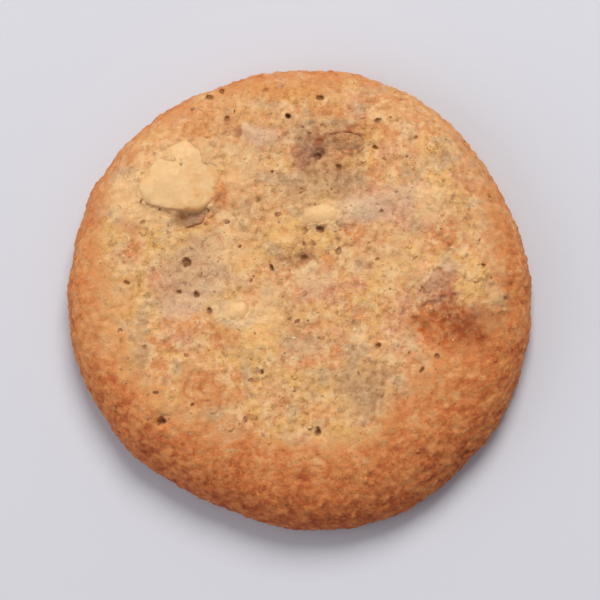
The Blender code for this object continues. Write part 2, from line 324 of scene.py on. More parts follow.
# x, y, half length, half width, turn, colour, strength
STAINS = (
    (-0.0109, 0.0019, 0.0048, 0.0044, 40, GREY, 0.74),
    (-0.0118, -0.0008, 0.0030, 0.0022, 10, BLUISH, 0.55),
    (-0.0043, 0.0174, 0.0020, 0.0013, -10, BLUISH, 0.85),
    (-0.0026, 0.0170, 0.0018, 0.0012, -10, LAVENDER, 0.60),
    # The recess by the skinned piece. The mauve is skin under thin dough. The darker stains round it are
    # partly painted shade, darkest under its upper lip and fading downward through the greenish one.
    (0.0036, 0.0120, 0.0052, 0.0028, 4, GREENISH, 0.72),
    (0.0038, 0.0145, 0.0042, 0.0024, 4, PAINTED_SHADE, 0.46),
    (0.0044, 0.0168, 0.0040, 0.0015, 2, BROWN_WITH_PAINTED_SHADE, 0.80),
    (0.0012, 0.0152, 0.0018, 0.0016, 70, MAUVE, 0.95),
    (0.0027, 0.0156, 0.0018, 0.0007, 46, DARK, 0.80),
    (0.0098, 0.0096, 0.0054, 0.0019, 20, LAVENDER, 0.62),
    (0.0074, 0.0089, 0.0030, 0.0017, 10, BLUISH, 0.95),
    (0.0039, 0.0086, 0.0038, 0.0013, 8, IVORY, 0.85),
    (-0.0003, 0.0041, 0.0023, 0.0014, 10, MAUVE, 0.40),
    (0.0018, 0.0014, 0.0026, 0.0018, 30, IVORY, 0.40),
    (0.0006, -0.0057, 0.0030, 0.0020, 20, GREY, 0.45),
    (0.0107, -0.0128, 0.0027, 0.0018, 40, SINGED, 0.60),
    (0.0068, -0.0095, 0.0036, 0.0026, 20, GREENISH, 0.82),
    (0.0082, -0.0119, 0.0030, 0.0018, 10, GREENISH, 0.50),
    # The brown mound. The lavender on its upper left is partly a painted highlight, and the brown on its
    # lower side is partly painted shade.
    (0.0154, 0.0011, 0.0026, 0.0017, 40, LAVENDER, 0.90),
    (0.0164, 0.0006, 0.0020, 0.0014, -50, RUDDY, 0.90),
    (0.0150, -0.0008, 0.0021, 0.0013, -15, RUDDY, 0.90),
    (0.0162, -0.0041, 0.0044, 0.0027, -14, SINGED, 1.00),
    (0.0176, -0.0034, 0.0032, 0.0022, -30, BROWN_WITH_PAINTED_SHADE, 0.90),
    (0.0202, -0.0024, 0.0022, 0.0013, -20, PAINTED_SHADE, 0.45),
    (0.0198, -0.0047, 0.0014, 0.0008, -45, BROWN_WITH_PAINTED_SHADE, 0.90),
    (-0.0046, -0.0035, 0.0042, 0.0026, -24, YELLOW, 0.80),
    (-0.0063, -0.0021, 0.0030, 0.0019, -5, IVORY, 0.85),
    (-0.0127, 0.0129, 0.0058, 0.0054, 35, CREAM, 0.70),
    (-0.0084, 0.0127, 0.0018, 0.0016, 0, YELLOW, 0.85),
    (-0.0082, 0.0107, 0.0012, 0.0018, -10, SINGED, 0.55),
    (-0.0112, 0.0082, 0.0026, 0.0012, 22, MAUVE, 0.32),
    (-0.0100, 0.0054, 0.0026, 0.0018, 0, GREY, 0.55),
    (0.0214, -0.0006, 0.0014, 0.0013, 0, GREENISH, 0.95),
    (0.0184, 0.0012, 0.0018, 0.0016, 20, YELLOW, 0.85),
    (0.0146, 0.0099, 0.0024, 0.0024, 0, CREAM, 0.70),
    (0.0112, 0.0040, 0.0036, 0.0030, 10, CREAM, 0.40),
    (-0.0170, 0.0112, 0.0036, 0.0030, 60, CREAM, 1.00),
    (-0.0016, 0.0073, 0.0022, 0.0020, 10, YELLOW, 0.50),
    (-0.0054, 0.0037, 0.0022, 0.0018, 10, YELLOW, 0.50),
    (0.0050, -0.0122, 0.0026, 0.0016, -20, PALE, 0.30),
    (-0.0094, -0.0106, 0.0036, 0.0024, -20, SINGED, 0.62),
    (-0.0074, 0.0053, 0.0030, 0.0022, 20, CREAM, 0.55),
    (-0.0034, -0.0007, 0.0024, 0.0018, 0, CREAM, 0.45),
    (-0.0076, -0.0048, 0.0024, 0.0016, -30, AMBER, 0.75),
    (-0.0054, 0.0134, 0.0026, 0.0018, 30, CREAM, 0.60),
    (-0.0101, 0.0183, 0.0036, 0.0016, 20, AMBER, 0.70),
    (-0.0148, 0.0096, 0.0034, 0.0018, -10, CREAM, 0.95),
    (0.0036, 0.0200, 0.0022, 0.0010, 0, SINGED, 0.45),
    (-0.0010, 0.0224, 0.0070, 0.0015, 0, AMBER, 0.80),
)


def length_setting(name, description, default):
    words = {"name": name, "description": description}
    return FloatProperty(**words, default=default, min=0.0, precision=5, subtype="DISTANCE", unit="LENGTH")


def number_setting(name, description, default):
    return IntProperty(name=name, description=description, default=default, min=0)


def colour_setting(name, description, default):
    words = {"name": name, "description": description}
    return FloatVectorProperty(**words, default=default, size=3, min=0.0, max=1.0, subtype="COLOR")


class BiscuitSizes(bpy.types.PropertyGroup):
    """Sizes of the crust's fine relief and of what is scattered on it"""

    crumb_height: length_setting("Crumb Height", "How far the crust's crumb stands up", 0.00018)
    crumb_length: length_setting("Crumb Length", "Distance between two lumps of the crumb", 0.00085)
    grain_height: length_setting("Grain Height", "How far the sandy grain stands up", 0.000035)
    grain_length: length_setting("Grain Length", "Distance between two grains", 0.00040)
    pore_depth: length_setting("Pore Depth", "Depth of the small pores", 0.00026)
    pore_spacing: length_setting("Pore Spacing", "Distance between two small pores", 0.00150)
    lap: length_setting("Dough Lap", "How far the dough creeps up an almond's side", 0.00022)
    grains: number_setting("Grains", "Sandy grains on the crust", 2600)
    crumbs: number_setting("Crumbs", "Larger crumbs on the crust", 200)
    meal: number_setting("Almond Meal", "Small bits of almond in the crust", 70)
    flecks: number_setting("Skin Flecks", "Small bits of almond skin in the crust", 260)


class BiscuitColours(bpy.types.PropertyGroup):
    """Colours of the biscuit and of the stage"""

    dough: colour_setting("Dough", "The pale middle of the crust", srgb(219, 166, 112))
    golden: colour_setting("Golden Crust", "The crust where it starts to brown", srgb(216, 140, 80))
    browned: colour_setting("Browned Crust", "The crust of the rim", srgb(200, 113, 58))
    # Dark grains of the pale crust, partly painted shade between the sandy grains
    shadow: colour_setting("Dark Grains", "The darker grains of the pale crust", srgb(172, 122, 72))
    grey: colour_setting("Grey Dough", "Dough over skin and almond, cool and dull", srgb(193, 158, 118))
    cream: colour_setting("Cream Dough", "Dough that stayed pale", srgb(234, 193, 141))
    peach: colour_setting("Peach Dough", "Dough with a warm flush", srgb(216, 141, 86))
    rose: colour_setting("Rose Dough", "Dough with a pink flush", srgb(213, 151, 114))
    yellow: colour_setting("Yellow Dough", "Dough with a buttery tint", srgb(225, 173, 100))
    film: colour_setting("Dough Film", "Thin dough with cut almond under it", srgb(232, 187, 132))
    skin_film: colour_setting("Dough Film on Skin", "Thin dough with skin under it", srgb(180, 128, 94))
    deep: colour_setting("Deep Brown", "The darkest crust, at the foot", srgb(168, 78, 37))
    # The colour painted into the pores as their shade
    pore: colour_setting("Pore", "The inside of a pore", srgb(134, 86, 50))
    almond: colour_setting("Almond", "Cut almond", srgb(226, 182, 126))
    toasted: colour_setting("Toasted Almond", "Browned edges of the almond", srgb(216, 148, 74))
    skin: colour_setting("Almond Skin", "Brown skin of the almond", srgb(146, 92, 52))
    floor: colour_setting("Floor", "The stage's floor", srgb(205, 205, 211))


# ---------------------------------------------------------------- form, worked out as in the solid
def wave(x, y, z, length, octaves, layer):
    """Smooth noise of about -1 to 1 whose lumps are about `length` across."""
    spot = Vector((x, y, z)) / length + Vector((0.0, 0.0, NOISE_LAYER * layer))
    return noise.fractal(spot, NOISE_ROUGHNESS, NOISE_FINENESS, octaves, noise_basis="PERLIN_ORIGINAL")


def smooth_step(value, low, high):
    share = np.clip((value - low) / (high - low), 0.0, 1.0)
    return share * share * (3.0 - 2.0 * share)


def round_spot(radius, angle):
    return radius * cos(angle), radius * sin(angle)


def seen_from(x, y, centre_x, centre_y, angle):
    """A place as it lies from a centre: how far along a direction, and how far across it."""
    dx, dy = x - centre_x, y - centre_y
    return dx * cos(angle) + dy * sin(angle), dy * cos(angle) - dx * sin(angle)


def outline_radius(angle):
    """The rim's distance from the middle, looking down."""
    bulge = sum(share * cos(count * (angle - radians(way))) for count, share, way in OUTLINE_BULGES)
    smooth = RADIUS * (1.0 + bulge)
    return smooth + RIM_CRINKLE * wave(*round_spot(smooth, angle), 0.0, RIM_CRINKLE_LENGTH, 2, 1)


def oval(x, y, patch):
    """How far out in an oval patch a place lies: 0 at its middle, 1 on its edge."""
    centre_x, centre_y, half_long, half_wide, turn = patch[:5]
    along, across = seen_from(x, y, centre_x, centre_y, radians(turn))
    u, v = along / half_long, across / half_wide
    return sqrt(u * u + v * v)


def dome_share(x, y, patch):
    """1 at the middle of an oval patch, falling smoothly to 0 past its edge."""
    return max(0.0, 1.0 - 0.5 * oval(x, y, patch) ** 2) ** 3


def relief(x, y):
    """How far the crust stands above or below the plain profile at a place on the top."""
    rise = SWELL * wave(x, y, 0.0, SWELL_LENGTH, 2, 2) + RIPPLE * wave(x, y, 0.0, RIPPLE_LENGTH, 3, 3)
    rise -= SINK * max(0.0, 1.0 - (hypot(x, y) / SINK_RADIUS) ** 2) ** 2
    rise += TILT * (x * cos(BROAD_SIDE) + y * sin(BROAD_SIDE)) / RADIUS
    rise += sum(patch[5] * dome_share(x, y, patch) for patch in SWELLINGS)
    rise -= sum(patch[5] * dome_share(x, y, patch) for patch in HOLLOWS)
    return rise


def raised(x, y, height):
    """A height of the plain profile with the relief on it, which fades out down to the widest point."""
    return height + relief(x, y) * ((height - WIDEST_HEIGHT) / (CROWN_HEIGHT - WIDEST_HEIGHT))


def shoulder_line(angle):
    """The profile from the middle of the top to the widest point, as radius and height, evenly spaced."""
    rim = outline_radius(angle)
    start = rim * (PLATEAU_SHARE - BROAD_SIDE_GAIN * cos(angle - BROAD_SIDE))
    turn = np.linspace(0.0, pi / 2, PROFILE_STEPS)
    power = 2.0 / SHOULDER_SQUARENESS
    out = start + (rim - start) * np.sin(turn) ** power
    height = WIDEST_HEIGHT + (CROWN_HEIGHT - WIDEST_HEIGHT) * np.cos(turn).clip(0.0) ** power
    radius = np.concatenate([[0.0], out])
    height = np.concatenate([[CROWN_HEIGHT], height])
    length = np.concatenate([[0.0], np.cumsum(np.hypot(np.diff(radius), np.diff(height)))])
    return length / length[-1], radius, height


def top_height(x, y):
    """The crust's height above the underside at a place on the top."""
    _, radii, heights = shoulder_line(atan2(y, x))
    return raised(x, y, np.interp(hypot(x, y), radii, heights))


def disc(u, v):
    """A point of a square from -1 to 1, moved to a round disc, as direction and distance from the middle."""
    x, y = u * sqrt(1.0 - v * v / 2.0), v * sqrt(1.0 - u * u / 2.0)
    return atan2(y, x), hypot(x, y)


def top_point(u, v):
    """A point of the top, and how far along the profile it lies: 0 in the middle, 1 at the widest point."""
    angle, out = disc(u, v)
    along = min(1.0, out)
    share, radii, heights = shoulder_line(angle)
    x, y = round_spot(np.interp(along, share, radii), angle)
    return x, y, raised(x, y, np.interp(along, share, heights)), along


def foot_point(u, v, down):
    """A point of the foot: down is 0 at the widest point and 1 on the underside."""
    angle, _ = disc(u, v)
    turn = down * pi / 2
    power = 2.0 / FOOT_SQUARENESS
    radius = outline_radius(angle) - FOOT_TUCK * (1.0 - max(0.0, cos(turn)) ** power)
    return *round_spot(radius, angle), WIDEST_HEIGHT * (1.0 - sin(turn) ** power)


def underside_point(u, v):
    angle, out = disc(u, v)
    return *round_spot((outline_radius(angle) - FOOT_TUCK) * out, angle), 0.0


def footprint_middle():
    """The middle of the footprint's box, which the solid puts on the origin."""
    angles = np.linspace(0.0, 2.0 * pi, FOOTPRINT_STEPS)
    spots = np.array([round_spot(outline_radius(angle), angle) for angle in angles])
    return (spots.min(axis=0) + spots.max(axis=0)) / 2.0


def square_rim(cells):
    """The grid places round the edge of a square of cells, anticlockwise from its lowest corner."""
    low = [(step, 0) for step in range(cells)]
    right = [(cells, step) for step in range(cells)]
    high = [(cells - step, cells) for step in range(cells)]
    left = [(0, cells - step) for step in range(cells)]
    return low + right + high + left


def dough_net(cells, foot_cells):
    """The dough's points, before any relief, and its faces: a top grid, rings down the foot, and an underside
    of larger cells. After its x, y and z, a point has its place, from 0 on the top to 1 on the underside, and
    its reach from the middle of the top along the surface."""
    line = np.linspace(-1.0, 1.0, cells + 1)
    rim = square_rim(cells)
    points, faces = [], []
    for u in line:
        for v in line:
            *spot, reach = top_point(u, v)
            points.append((*spot, 0.0, reach))
    for i in range(cells):
        for j in range(cells):
            corner = i * (cells + 1) + j
            faces.append((corner, corner + cells + 1, corner + cells + 2, corner + 1))
    ring = [i * (cells + 1) + j for i, j in rim]
    for step in range(1, foot_cells + 1):
        down = step / foot_cells
        lower = list(range(len(points), len(points) + len(rim)))
        for i, j in rim:
            points.append((*foot_point(line[i], line[j], down), down, 1.0 + FOOT_REACH * down))
        for number, top in enumerate(ring):
            after = (number + 1) % len(ring)
            faces.append((top, lower[number], lower[after], ring[after]))
        ring = lower
    known = dict(zip(rim, ring, strict=True))
    for i in range(UNDERSIDE_STEP, cells, UNDERSIDE_STEP):
        for j in range(UNDERSIDE_STEP, cells, UNDERSIDE_STEP):
            known[i, j] = len(points)
            points.append((*underside_point(line[i], line[j]), 1.0, 1.0 + FOOT_REACH))
    for i in range(0, cells, UNDERSIDE_STEP):
        for j in range(0, cells, UNDERSIDE_STEP):
            walk = [(i + step, j + across) for step, across in reversed(square_rim(UNDERSIDE_STEP))]
            faces.append([known[spot] for spot in walk if spot in known])
    return np.array(points), faces


# ---------------------------------------------------------------- nodes
def opaque(colour):
    return (*colour, 1.0)


def fill(tree, node, inputs):
    """Gives each named input of a node a value, or links it to a socket."""
    for name, value in inputs.items():
        socket = node.inputs[name]
        if isinstance(value, bpy.types.NodeSocket):
            tree.links.new(value, socket)
        else:
            socket.default_value = opaque(value) if socket.type == "RGBA" else value


def new_node(tree, kind, inputs=None, **settings):
    """Adds a node with its settings and inputs."""
    node = tree.nodes.new(kind)
    node.location = (200 * (len(tree.nodes) % 10), -320 * (len(tree.nodes) // 10))
    for name, value in settings.items():
        setattr(node, name, value)
    fill(tree, node, inputs or {})
    return node


def add(tree, kind, inputs=None, **settings):
    """Adds a node, and returns its outputs."""
    return new_node(tree, kind, inputs, **settings).outputs


def maths(tree, operation, *values):
    """A Math node's result. Values are numbers or sockets."""
    return add(tree, "ShaderNodeMath", dict(enumerate(values)), operation=operation)[0]


def plus(tree, *values):
    return reduce(lambda total, value: maths(tree, "ADD", total, value), values)


def times(tree, *values):
    return reduce(lambda product, value: maths(tree, "MULTIPLY", product, value), values)


def swing(tree, value, strength):
    """A value of 0 to 1, turned into one that swings about 0 by a strength."""
    return times(tree, maths(tree, "SUBTRACT", value, 0.5), strength)


def per(tree, length, share=1.0):
    """The scale of a texture whose lumps are about as long as a length."""
    return maths(tree, "DIVIDE", share, length)


def vectors(tree, operation, *values):
    return add(tree, "ShaderNodeVectorMath", dict(enumerate(values)), operation=operation)[0]


def scaled(tree, vector, by):
    return add(tree, "ShaderNodeVectorMath", {0: vector, "Scale": by}, operation="SCALE")[0]


def ranged(tree, value, low, high, to_low=0.0, to_high=1.0, way="SMOOTHSTEP"):
    """A value brought from one range to another and kept inside it."""
    inputs = {"Value": value, 1: low, 2: high, 3: to_low, 4: to_high}
    return add(tree, "ShaderNodeMapRange", inputs, interpolation_type=way, clamp=True)[0]


def between(tree, amount, first, second, blend="MIX"):
    """Two colours mixed."""
    inputs = {0: amount, 6: first, 7: second}
    return add(tree, "ShaderNodeMix", inputs, data_type="RGBA", blend_type=blend)[2]


def noise_at(tree, place, scale, detail, roughness=0.5, distortion=0.0):
    """A noise texture's outputs: its value first, and its colour."""
    inputs = {"Vector": place, "Scale": scale, "Detail": detail, "Roughness": roughness}
    return add(tree, "ShaderNodeTexNoise", {**inputs, "Distortion": distortion})


def sway(tree, place, scale, detail, by):
    """An uneven push of a place to and fro."""
    colour = noise_at(tree, place, scale, detail)["Color"]
    return scaled(tree, vectors(tree, "SUBTRACT", colour, (0.5, 0.5, 0.5)), by)


def cells_at(tree, place, scale):
    return add(tree, "ShaderNodeTexVoronoi", {"Vector": place, "Scale": scale})


def draws_of(tree, cells):
    """Random values that belong to the cells of a texture."""
    kind = "ShaderNodeSeparateColor" if tree.type == "SHADER" else "FunctionNodeSeparateColor"
    return add(tree, kind, {0: cells["Color"]})


def attribute(tree, name):
    return add(tree, "ShaderNodeAttribute", attribute_name=name)


def stored(tree, name):
    """A number stored at the points, for Geometry Nodes."""
    return add(tree, "GeometryNodeInputNamedAttribute", {"Name": name}, data_type="FLOAT")[0]


def store(tree, geometry, name, value, domain="POINT"):
    inputs = {"Geometry": geometry, "Name": name, "Value": value}
    return add(tree, "GeometryNodeStoreNamedAttribute", inputs, data_type="FLOAT", domain=domain)[0]


def moved(tree, geometry, **inputs):
    return add(tree, "GeometryNodeSetPosition", {"Geometry": geometry, **inputs})[0]


def drawn(tree, seed, low, high):
    """A random vector for each point, with its parts between two numbers."""
    inputs = {0: (low, low, low), 1: (high, high, high), "Seed": seed}
    return add(tree, "FunctionNodeRandomValue", inputs, data_type="FLOAT_VECTOR")[0]


def drawn_share(tree, seed):
    """A random number from 0 to 1 for each point."""
    return add(tree, "FunctionNodeRandomValue", {"Seed": seed}, data_type="FLOAT")[1]


def new_tree(name, kind, inputs, outputs):
    """A node group with named sockets, each given with its default, or else with its sort of socket. Returns
    the tree, what it is given, and the node that takes its results."""
    tree = bpy.data.node_groups.new(name, kind)
    for sockets, way in ((inputs, "INPUT"), (outputs, "OUTPUT")):
        for label, value in sockets.items():
            sort = {float: "Float", int: "Int"}.get(type(value), value)
            socket = tree.interface.new_socket(label, in_out=way, socket_type=f"NodeSocket{sort}")
            if sort != value:
                socket.default_value = value
    return tree, add(tree, "NodeGroupInput"), new_node(tree, "NodeGroupOutput")


# ---------------------------------------------------------------- meshes and pieces
def piece_of(name, mesh):
    piece = bpy.data.objects.new(name, mesh)
    bpy.context.scene.collection.objects.link(piece)
    return piece


def settle(mesh):
    """Slides a mesh from the biscuit's own middle to the middle of its footprint, as the solid is."""
    middle = footprint_middle()
    mesh.transform(Matrix.Translation((-middle[0], -middle[1], 0.0)))


def point_values(mesh, name, values):
    """Stores a number at each point, for the materials and the Geometry Nodes."""
    layer = mesh.attributes.new(name, "FLOAT", "POINT")
    layer.data.foreach_set("value", np.asarray(values, np.float32))


def values_at_points(mesh, name):
    """The numbers stored at a mesh's points."""
    values = np.zeros(len(mesh.vertices), np.float32)
    mesh.attributes[name].data.foreach_get("value", values)
    return values


def point_colours(mesh, name, colours):
    layer = mesh.attributes.new(name, "FLOAT_COLOR", "POINT")
    layer.data.foreach_set("color", np.asarray(colours, np.float32).ravel())


def grown(piece, tree, **inputs):
    """Runs a Geometry Nodes tree on a piece, with its inputs given by name, and returns the plain mesh."""
    modifier = piece.modifiers.new(tree.name, "NODES")
    modifier.node_group = tree
    for socket in tree.interface.items_tree:
        key = socket.name.lower().replace(" ", "_")
        if socket.in_out == "INPUT" and key in inputs:
            modifier[socket.identifier] = inputs[key]
    graph = bpy.context.evaluated_depsgraph_get()
    mesh = bpy.data.meshes.new_from_object(
        piece.evaluated_get(graph), preserve_all_data_layers=True, depsgraph=graph
    )
    piece.modifiers.remove(modifier)
    return mesh


def finish_piece(piece, slot, *nodes):
    """Lets the piece ride with the biscuit, and stand for its solid where that is named; its slot is not
    used.
    """
    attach(piece, "root")
    if nodes:
        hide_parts(*nodes)


# ---------------------------------------------------------------- materials
def sandy_grain_group():
    """Shader group of the sandy, speckled look that the crust, the crumbs and the almonds share."""
    name = "sandy_grain"
    if name in bpy.data.node_groups:
        return bpy.data.node_groups[name]
    sizes = {"Grain Length": 0.00022, "Mottle Length": 0.0016, "Speck Length": 0.0009, "Speck Share": 0.25}
    results = dict.fromkeys(("Grain", "Mottle", "Freckles", "Specks"), "Float")
    tree, given, end = new_tree(name, "ShaderNodeTree", {"Vector": "Vector", **sizes}, results)
    place, length, mottle = given["Vector"], given["Grain Length"], given["Mottle Length"]
    fine = noise_at(tree, place, per(tree, length), 3.0, 0.68)[0]
    shades = draws_of(tree, cells_at(tree, place, per(tree, length, 0.72)))[0]
    grain = plus(tree, times(tree, fine, 0.6), times(tree, shades, 0.4))
    slow = ranged(tree, noise_at(tree, place, per(tree, mottle), 4.0, 0.65, 0.2)[0], 0.30, 0.70)
    quick = ranged(tree, noise_at(tree, place, per(tree, mottle, 2.4), 2.0, 0.6)[0], 0.32, 0.68)
    pushed = vectors(tree, "ADD", place, sway(tree, place, *SPECK_SWAY))
    spots = cells_at(tree, pushed, per(tree, given["Speck Length"]))
    draws = draws_of(tree, spots)
    size = maths(tree, "MULTIPLY_ADD", draws[1], 0.16, 0.06)
    inside = ranged(tree, spots["Distance"], times(tree, size, 0.5), size, 1.0, 0.0)
    specks = times(tree, inside, maths(tree, "LESS_THAN", draws[0], given["Speck Share"]))
    fill(tree, end, {"Grain": grain, "Mottle": slow, "Freckles": quick, "Specks": specks})
    return tree


# Broad uneven patches in the dough, each in a colour of the settings: output, shift, share of the patch
# length, where the noise starts and ends to count, and strength
PATCHES = (
    ("Rose", 0.83, 1.10, 0.50, 0.64, 0.90),
    ("Peach", 0.67, 0.72, 0.48, 0.64, 0.95),
    ("Yellow", 0.12, 1.30, 0.46, 0.62, 0.85),
    ("Cream", 0.31, 0.50, 0.51, 0.67, 0.85),
    ("Grey", 0.0, 0.95, 0.51, 0.65, 0.80),
)


def patches_group():
    """Shader group of the broad uneven patches in the dough, one value for each tint."""
    sizes = {"Patch Length": 0.0034, "Break Up": 0.0}
    results = {row[0]: "Float" for row in PATCHES}
    tree, given, end = new_tree("patches", "ShaderNodeTree", {"Vector": "Vector", **sizes}, results)
    broken = swing(tree, given["Break Up"], 0.10)
    for output, shift, share, low, high, _ in PATCHES:
        place = vectors(tree, "ADD", given["Vector"], (shift, -shift, shift))
        size = times(tree, given["Patch Length"], share)
        patch = noise_at(tree, place, per(tree, size), 3.0, 0.58, 0.15)[0]
        fill(tree, end, {output: ranged(tree, plus(tree, patch, broken), low, high)})
    return tree


def toasting_group(colours):
    """Shader group that turns an amount of baking, from 0 to 1, into the crust's colour."""
    tree, given, end = new_tree("toasting", "ShaderNodeTree", {"Amount": 0.0}, {"Color": "Color"})
    ramp = new_node(tree, "ShaderNodeValToRGB", {0: given["Amount"]})
    steps = ramp.color_ramp.elements
    steps.new(0.34)
    steps.new(0.68)
    shades = colours.dough, colours.golden, colours.browned, colours.deep
    for step, shade in zip(steps, shades, strict=True):
        step.color = opaque(shade)
    fill(tree, end, {"Color": ramp.outputs[0]})
    return tree


# How much the sandy grain's outputs shift the baking, in the pale dough and in the brown
UNEVEN_BAKING = (("Mottle", 0.17, 0.40), ("Grain", 0.20, 0.52), ("Freckles", 0.10, 0.34))
# How much a strewn bit's own tone shifts its baking, how strongly skin specks colour the crust, and how
# strongly pores are painted with shade
BIT_TONE, SPECK_STRENGTH, PORE_SHADE_STRENGTH = 0.10, 0.62, 0.86


def crust_look(tree, place, sand, colours):
    """Baked dough: pale and sandy in the middle, browner where it baked most, with dark specks, painted shade
    in its pores and crumb hollows, and painted shade and highlights on its grain.
    """
    baked = attribute(tree, "browned")["Fac"]
    amount = plus(tree, baked, times(tree, attribute(tree, "tone")["Fac"], BIT_TONE))
    for output, in_pale, in_brown in UNEVEN_BAKING:
        strength = ranged(tree, baked, 0.10, 0.45, in_pale, in_brown)
        amount = plus(tree, amount, swing(tree, sand[output], strength))
    colour = add(tree, "ShaderNodeGroup", {0: amount}, node_tree=toasting_group(colours))[0]
    inputs = {"Vector": place, "Patch Length": 0.0040, "Break Up": sand["Grain"]}
    patches = add(tree, "ShaderNodeGroup", inputs, node_tree=patches_group())
    pale = ranged(tree, baked, 0.05, 0.40, 1.0, 0.0)
    for output, *_, strength in PATCHES:
        share = times(tree, patches[output], pale, strength)
        colour = between(tree, share, colour, getattr(colours, output.lower()))
    # Fine speckle of the pale crust: partly real grain, partly painted shade between the sandy grains and
    # painted highlights on them
    speckle = plus(tree, sand["Freckles"], times(tree, sand["Grain"], 0.6))
    grains = (0.68, 0.10, colours.shadow, 0.80), (0.88, 1.40, colours.cream, 0.66)
    for start, full, shade, strength in grains:
        share = times(tree, ranged(tree, speckle, start, full, 0.0, strength), pale)
        colour = between(tree, share, colour, shade)
    stain = attribute(tree, "stain")
    patchy = times(tree, stain["Alpha"], ranged(tree, speckle, 0.20, 1.40, 1.05, 0.62))
    colour = between(tree, patchy, colour, stain["Color"])
    # Painted shade of the grains, laid over the stains
    stain_grain_shade = times(tree, ranged(tree, speckle, 0.80, 0.15, 0.0, 0.36), stain["Alpha"])
    colour = between(tree, stain_grain_shade, colour, colours.dough, "MULTIPLY")
    # Painted shade: the crust is darker in the hollows of its crumb.
    low = ranged(tree, attribute(tree, "crumb")["Fac"], 0.42, 0.10, 0.0, 0.36)
    colour = between(tree, low, colour, colours.browned, "MULTIPLY")
    doughy = ranged(tree, attribute(tree, "doughy")["Fac"], 0.3, 1.0)
    colour = between(tree, times(tree, sand["Specks"], SPECK_STRENGTH, doughy), colour, colours.skin)
    # Painted shade in the pores, darker the deeper they are
    hole = times(tree, attribute(tree, "pore_dark")["Fac"], PORE_SHADE_STRENGTH)
    colour = between(tree, hole, colour, colours.pore)
    return colour, ranged(tree, sand["Grain"], 0.2, 0.8, 0.92, 0.62, "LINEAR"), sand["Grain"]


def dusted(tree, sand, colour, dust_colour, strength):
    """A colour under dust of dough: more of it towards the dough, broken up by the grain."""
    dust = attribute(tree, "dusted")["Fac"]
    uneven = plus(tree, dust, times(tree, swing(tree, sand["Grain"], 1.6), dust))
    return between(tree, ranged(tree, uneven, 0.25, 0.95, 0.0, strength), colour, dust_colour)


def fibres_in(tree, place, stretch, roughness):
    """Fine fibres that run along a piece."""
    return noise_at(tree, vectors(tree, "MULTIPLY", place, stretch), 1500.0, 4.0, roughness)[0]


def flesh_look(tree, place, sand, colours):
    """Cut almond flesh, cream, with faint fibres and toasted edges."""
    tone = times(tree, attribute(tree, "tone")["Fac"], 0.22)
    amount = plus(tree, attribute(tree, "toasted")["Fac"], swing(tree, sand["Mottle"], 0.52), tone)
    colour = between(tree, ranged(tree, amount, 0.05, 0.95), colours.almond, colours.toasted)
    fibres = fibres_in(tree, place, (1.0, 1.9, 1.4), 0.6)
    colour = between(tree, ranged(tree, fibres, 0.35, 0.65, 0.0, 0.34), colour, PALE_FIBRE)
    colour = between(tree, times(tree, sand["Specks"], 0.4), colour, colours.skin)
    colour = dusted(tree, sand, colour, colours.dough, 0.85)
    height = plus(tree, fibres, times(tree, sand["Grain"], 0.6))
    return colour, ranged(tree, sand["Grain"], 0.2, 0.8, 0.44, 0.62, "LINEAR"), height


def skin_look(tree, place, sand, colours):
    """Brown almond skin, dull and finely ridged."""
    ridges = fibres_in(tree, place, (1.0, 2.2, 1.4), 0.65)
    tone = attribute(tree, "tone")["Fac"]
    colour = between(tree, ranged(tree, ridges, 0.36, 0.64), colours.skin, LIGHT_SKIN)
    colour = between(tree, ranged(tree, sand["Mottle"], 0.4, 1.0, 0.0, 0.55), colour, DARK_SKIN)
    colour = between(tree, ranged(tree, sand["Grain"], 0.55, 0.8, 0.0, 0.5), colour, colours.dough)
    colour = between(tree, ranged(tree, tone, 0.0, 1.0, 0.0, 0.6), colour, DARK_SKIN)
    colour = between(tree, ranged(tree, tone, 0.0, -1.0, 0.0, 0.55), colour, WORN_SKIN)
    colour = dusted(tree, sand, colour, colours.grey, 0.289)
    return colour, SKIN_DULLNESS, plus(tree, ridges, times(tree, sand["Grain"], 0.5))


PALE_FIBRE, LIGHT_SKIN = srgb(238, 202, 150), srgb(196, 136, 84)
DARK_SKIN, WORN_SKIN = srgb(110, 66, 38), srgb(200, 156, 128)
SKIN_DULLNESS = 0.7

# How a slot looks: its colours, gloss, share and depth of light under its surface, the strength and height of
# its grain, the lengths of grain, mottle and specks, and the share of specks
LOOKS = {
    "baked_crust": (crust_look, 0.28, 0.10, 0.0007, 1.0, 0.00022, 0.00024, 0.0017, 0.00085, 0.32),
    "almond_flesh": (flesh_look, 0.40, 0.22, 0.0010, 0.4, 0.00006, 0.00030, 0.0013, 0.0013, 0.12),
    "almond_skin": (skin_look, 0.30, 0.05, 0.0005, 0.6, 0.00009, 0.00026, 0.0010, 0.0008, 0.3),
}
LIGHT_REACH = (1.0, 0.5, 0.22)


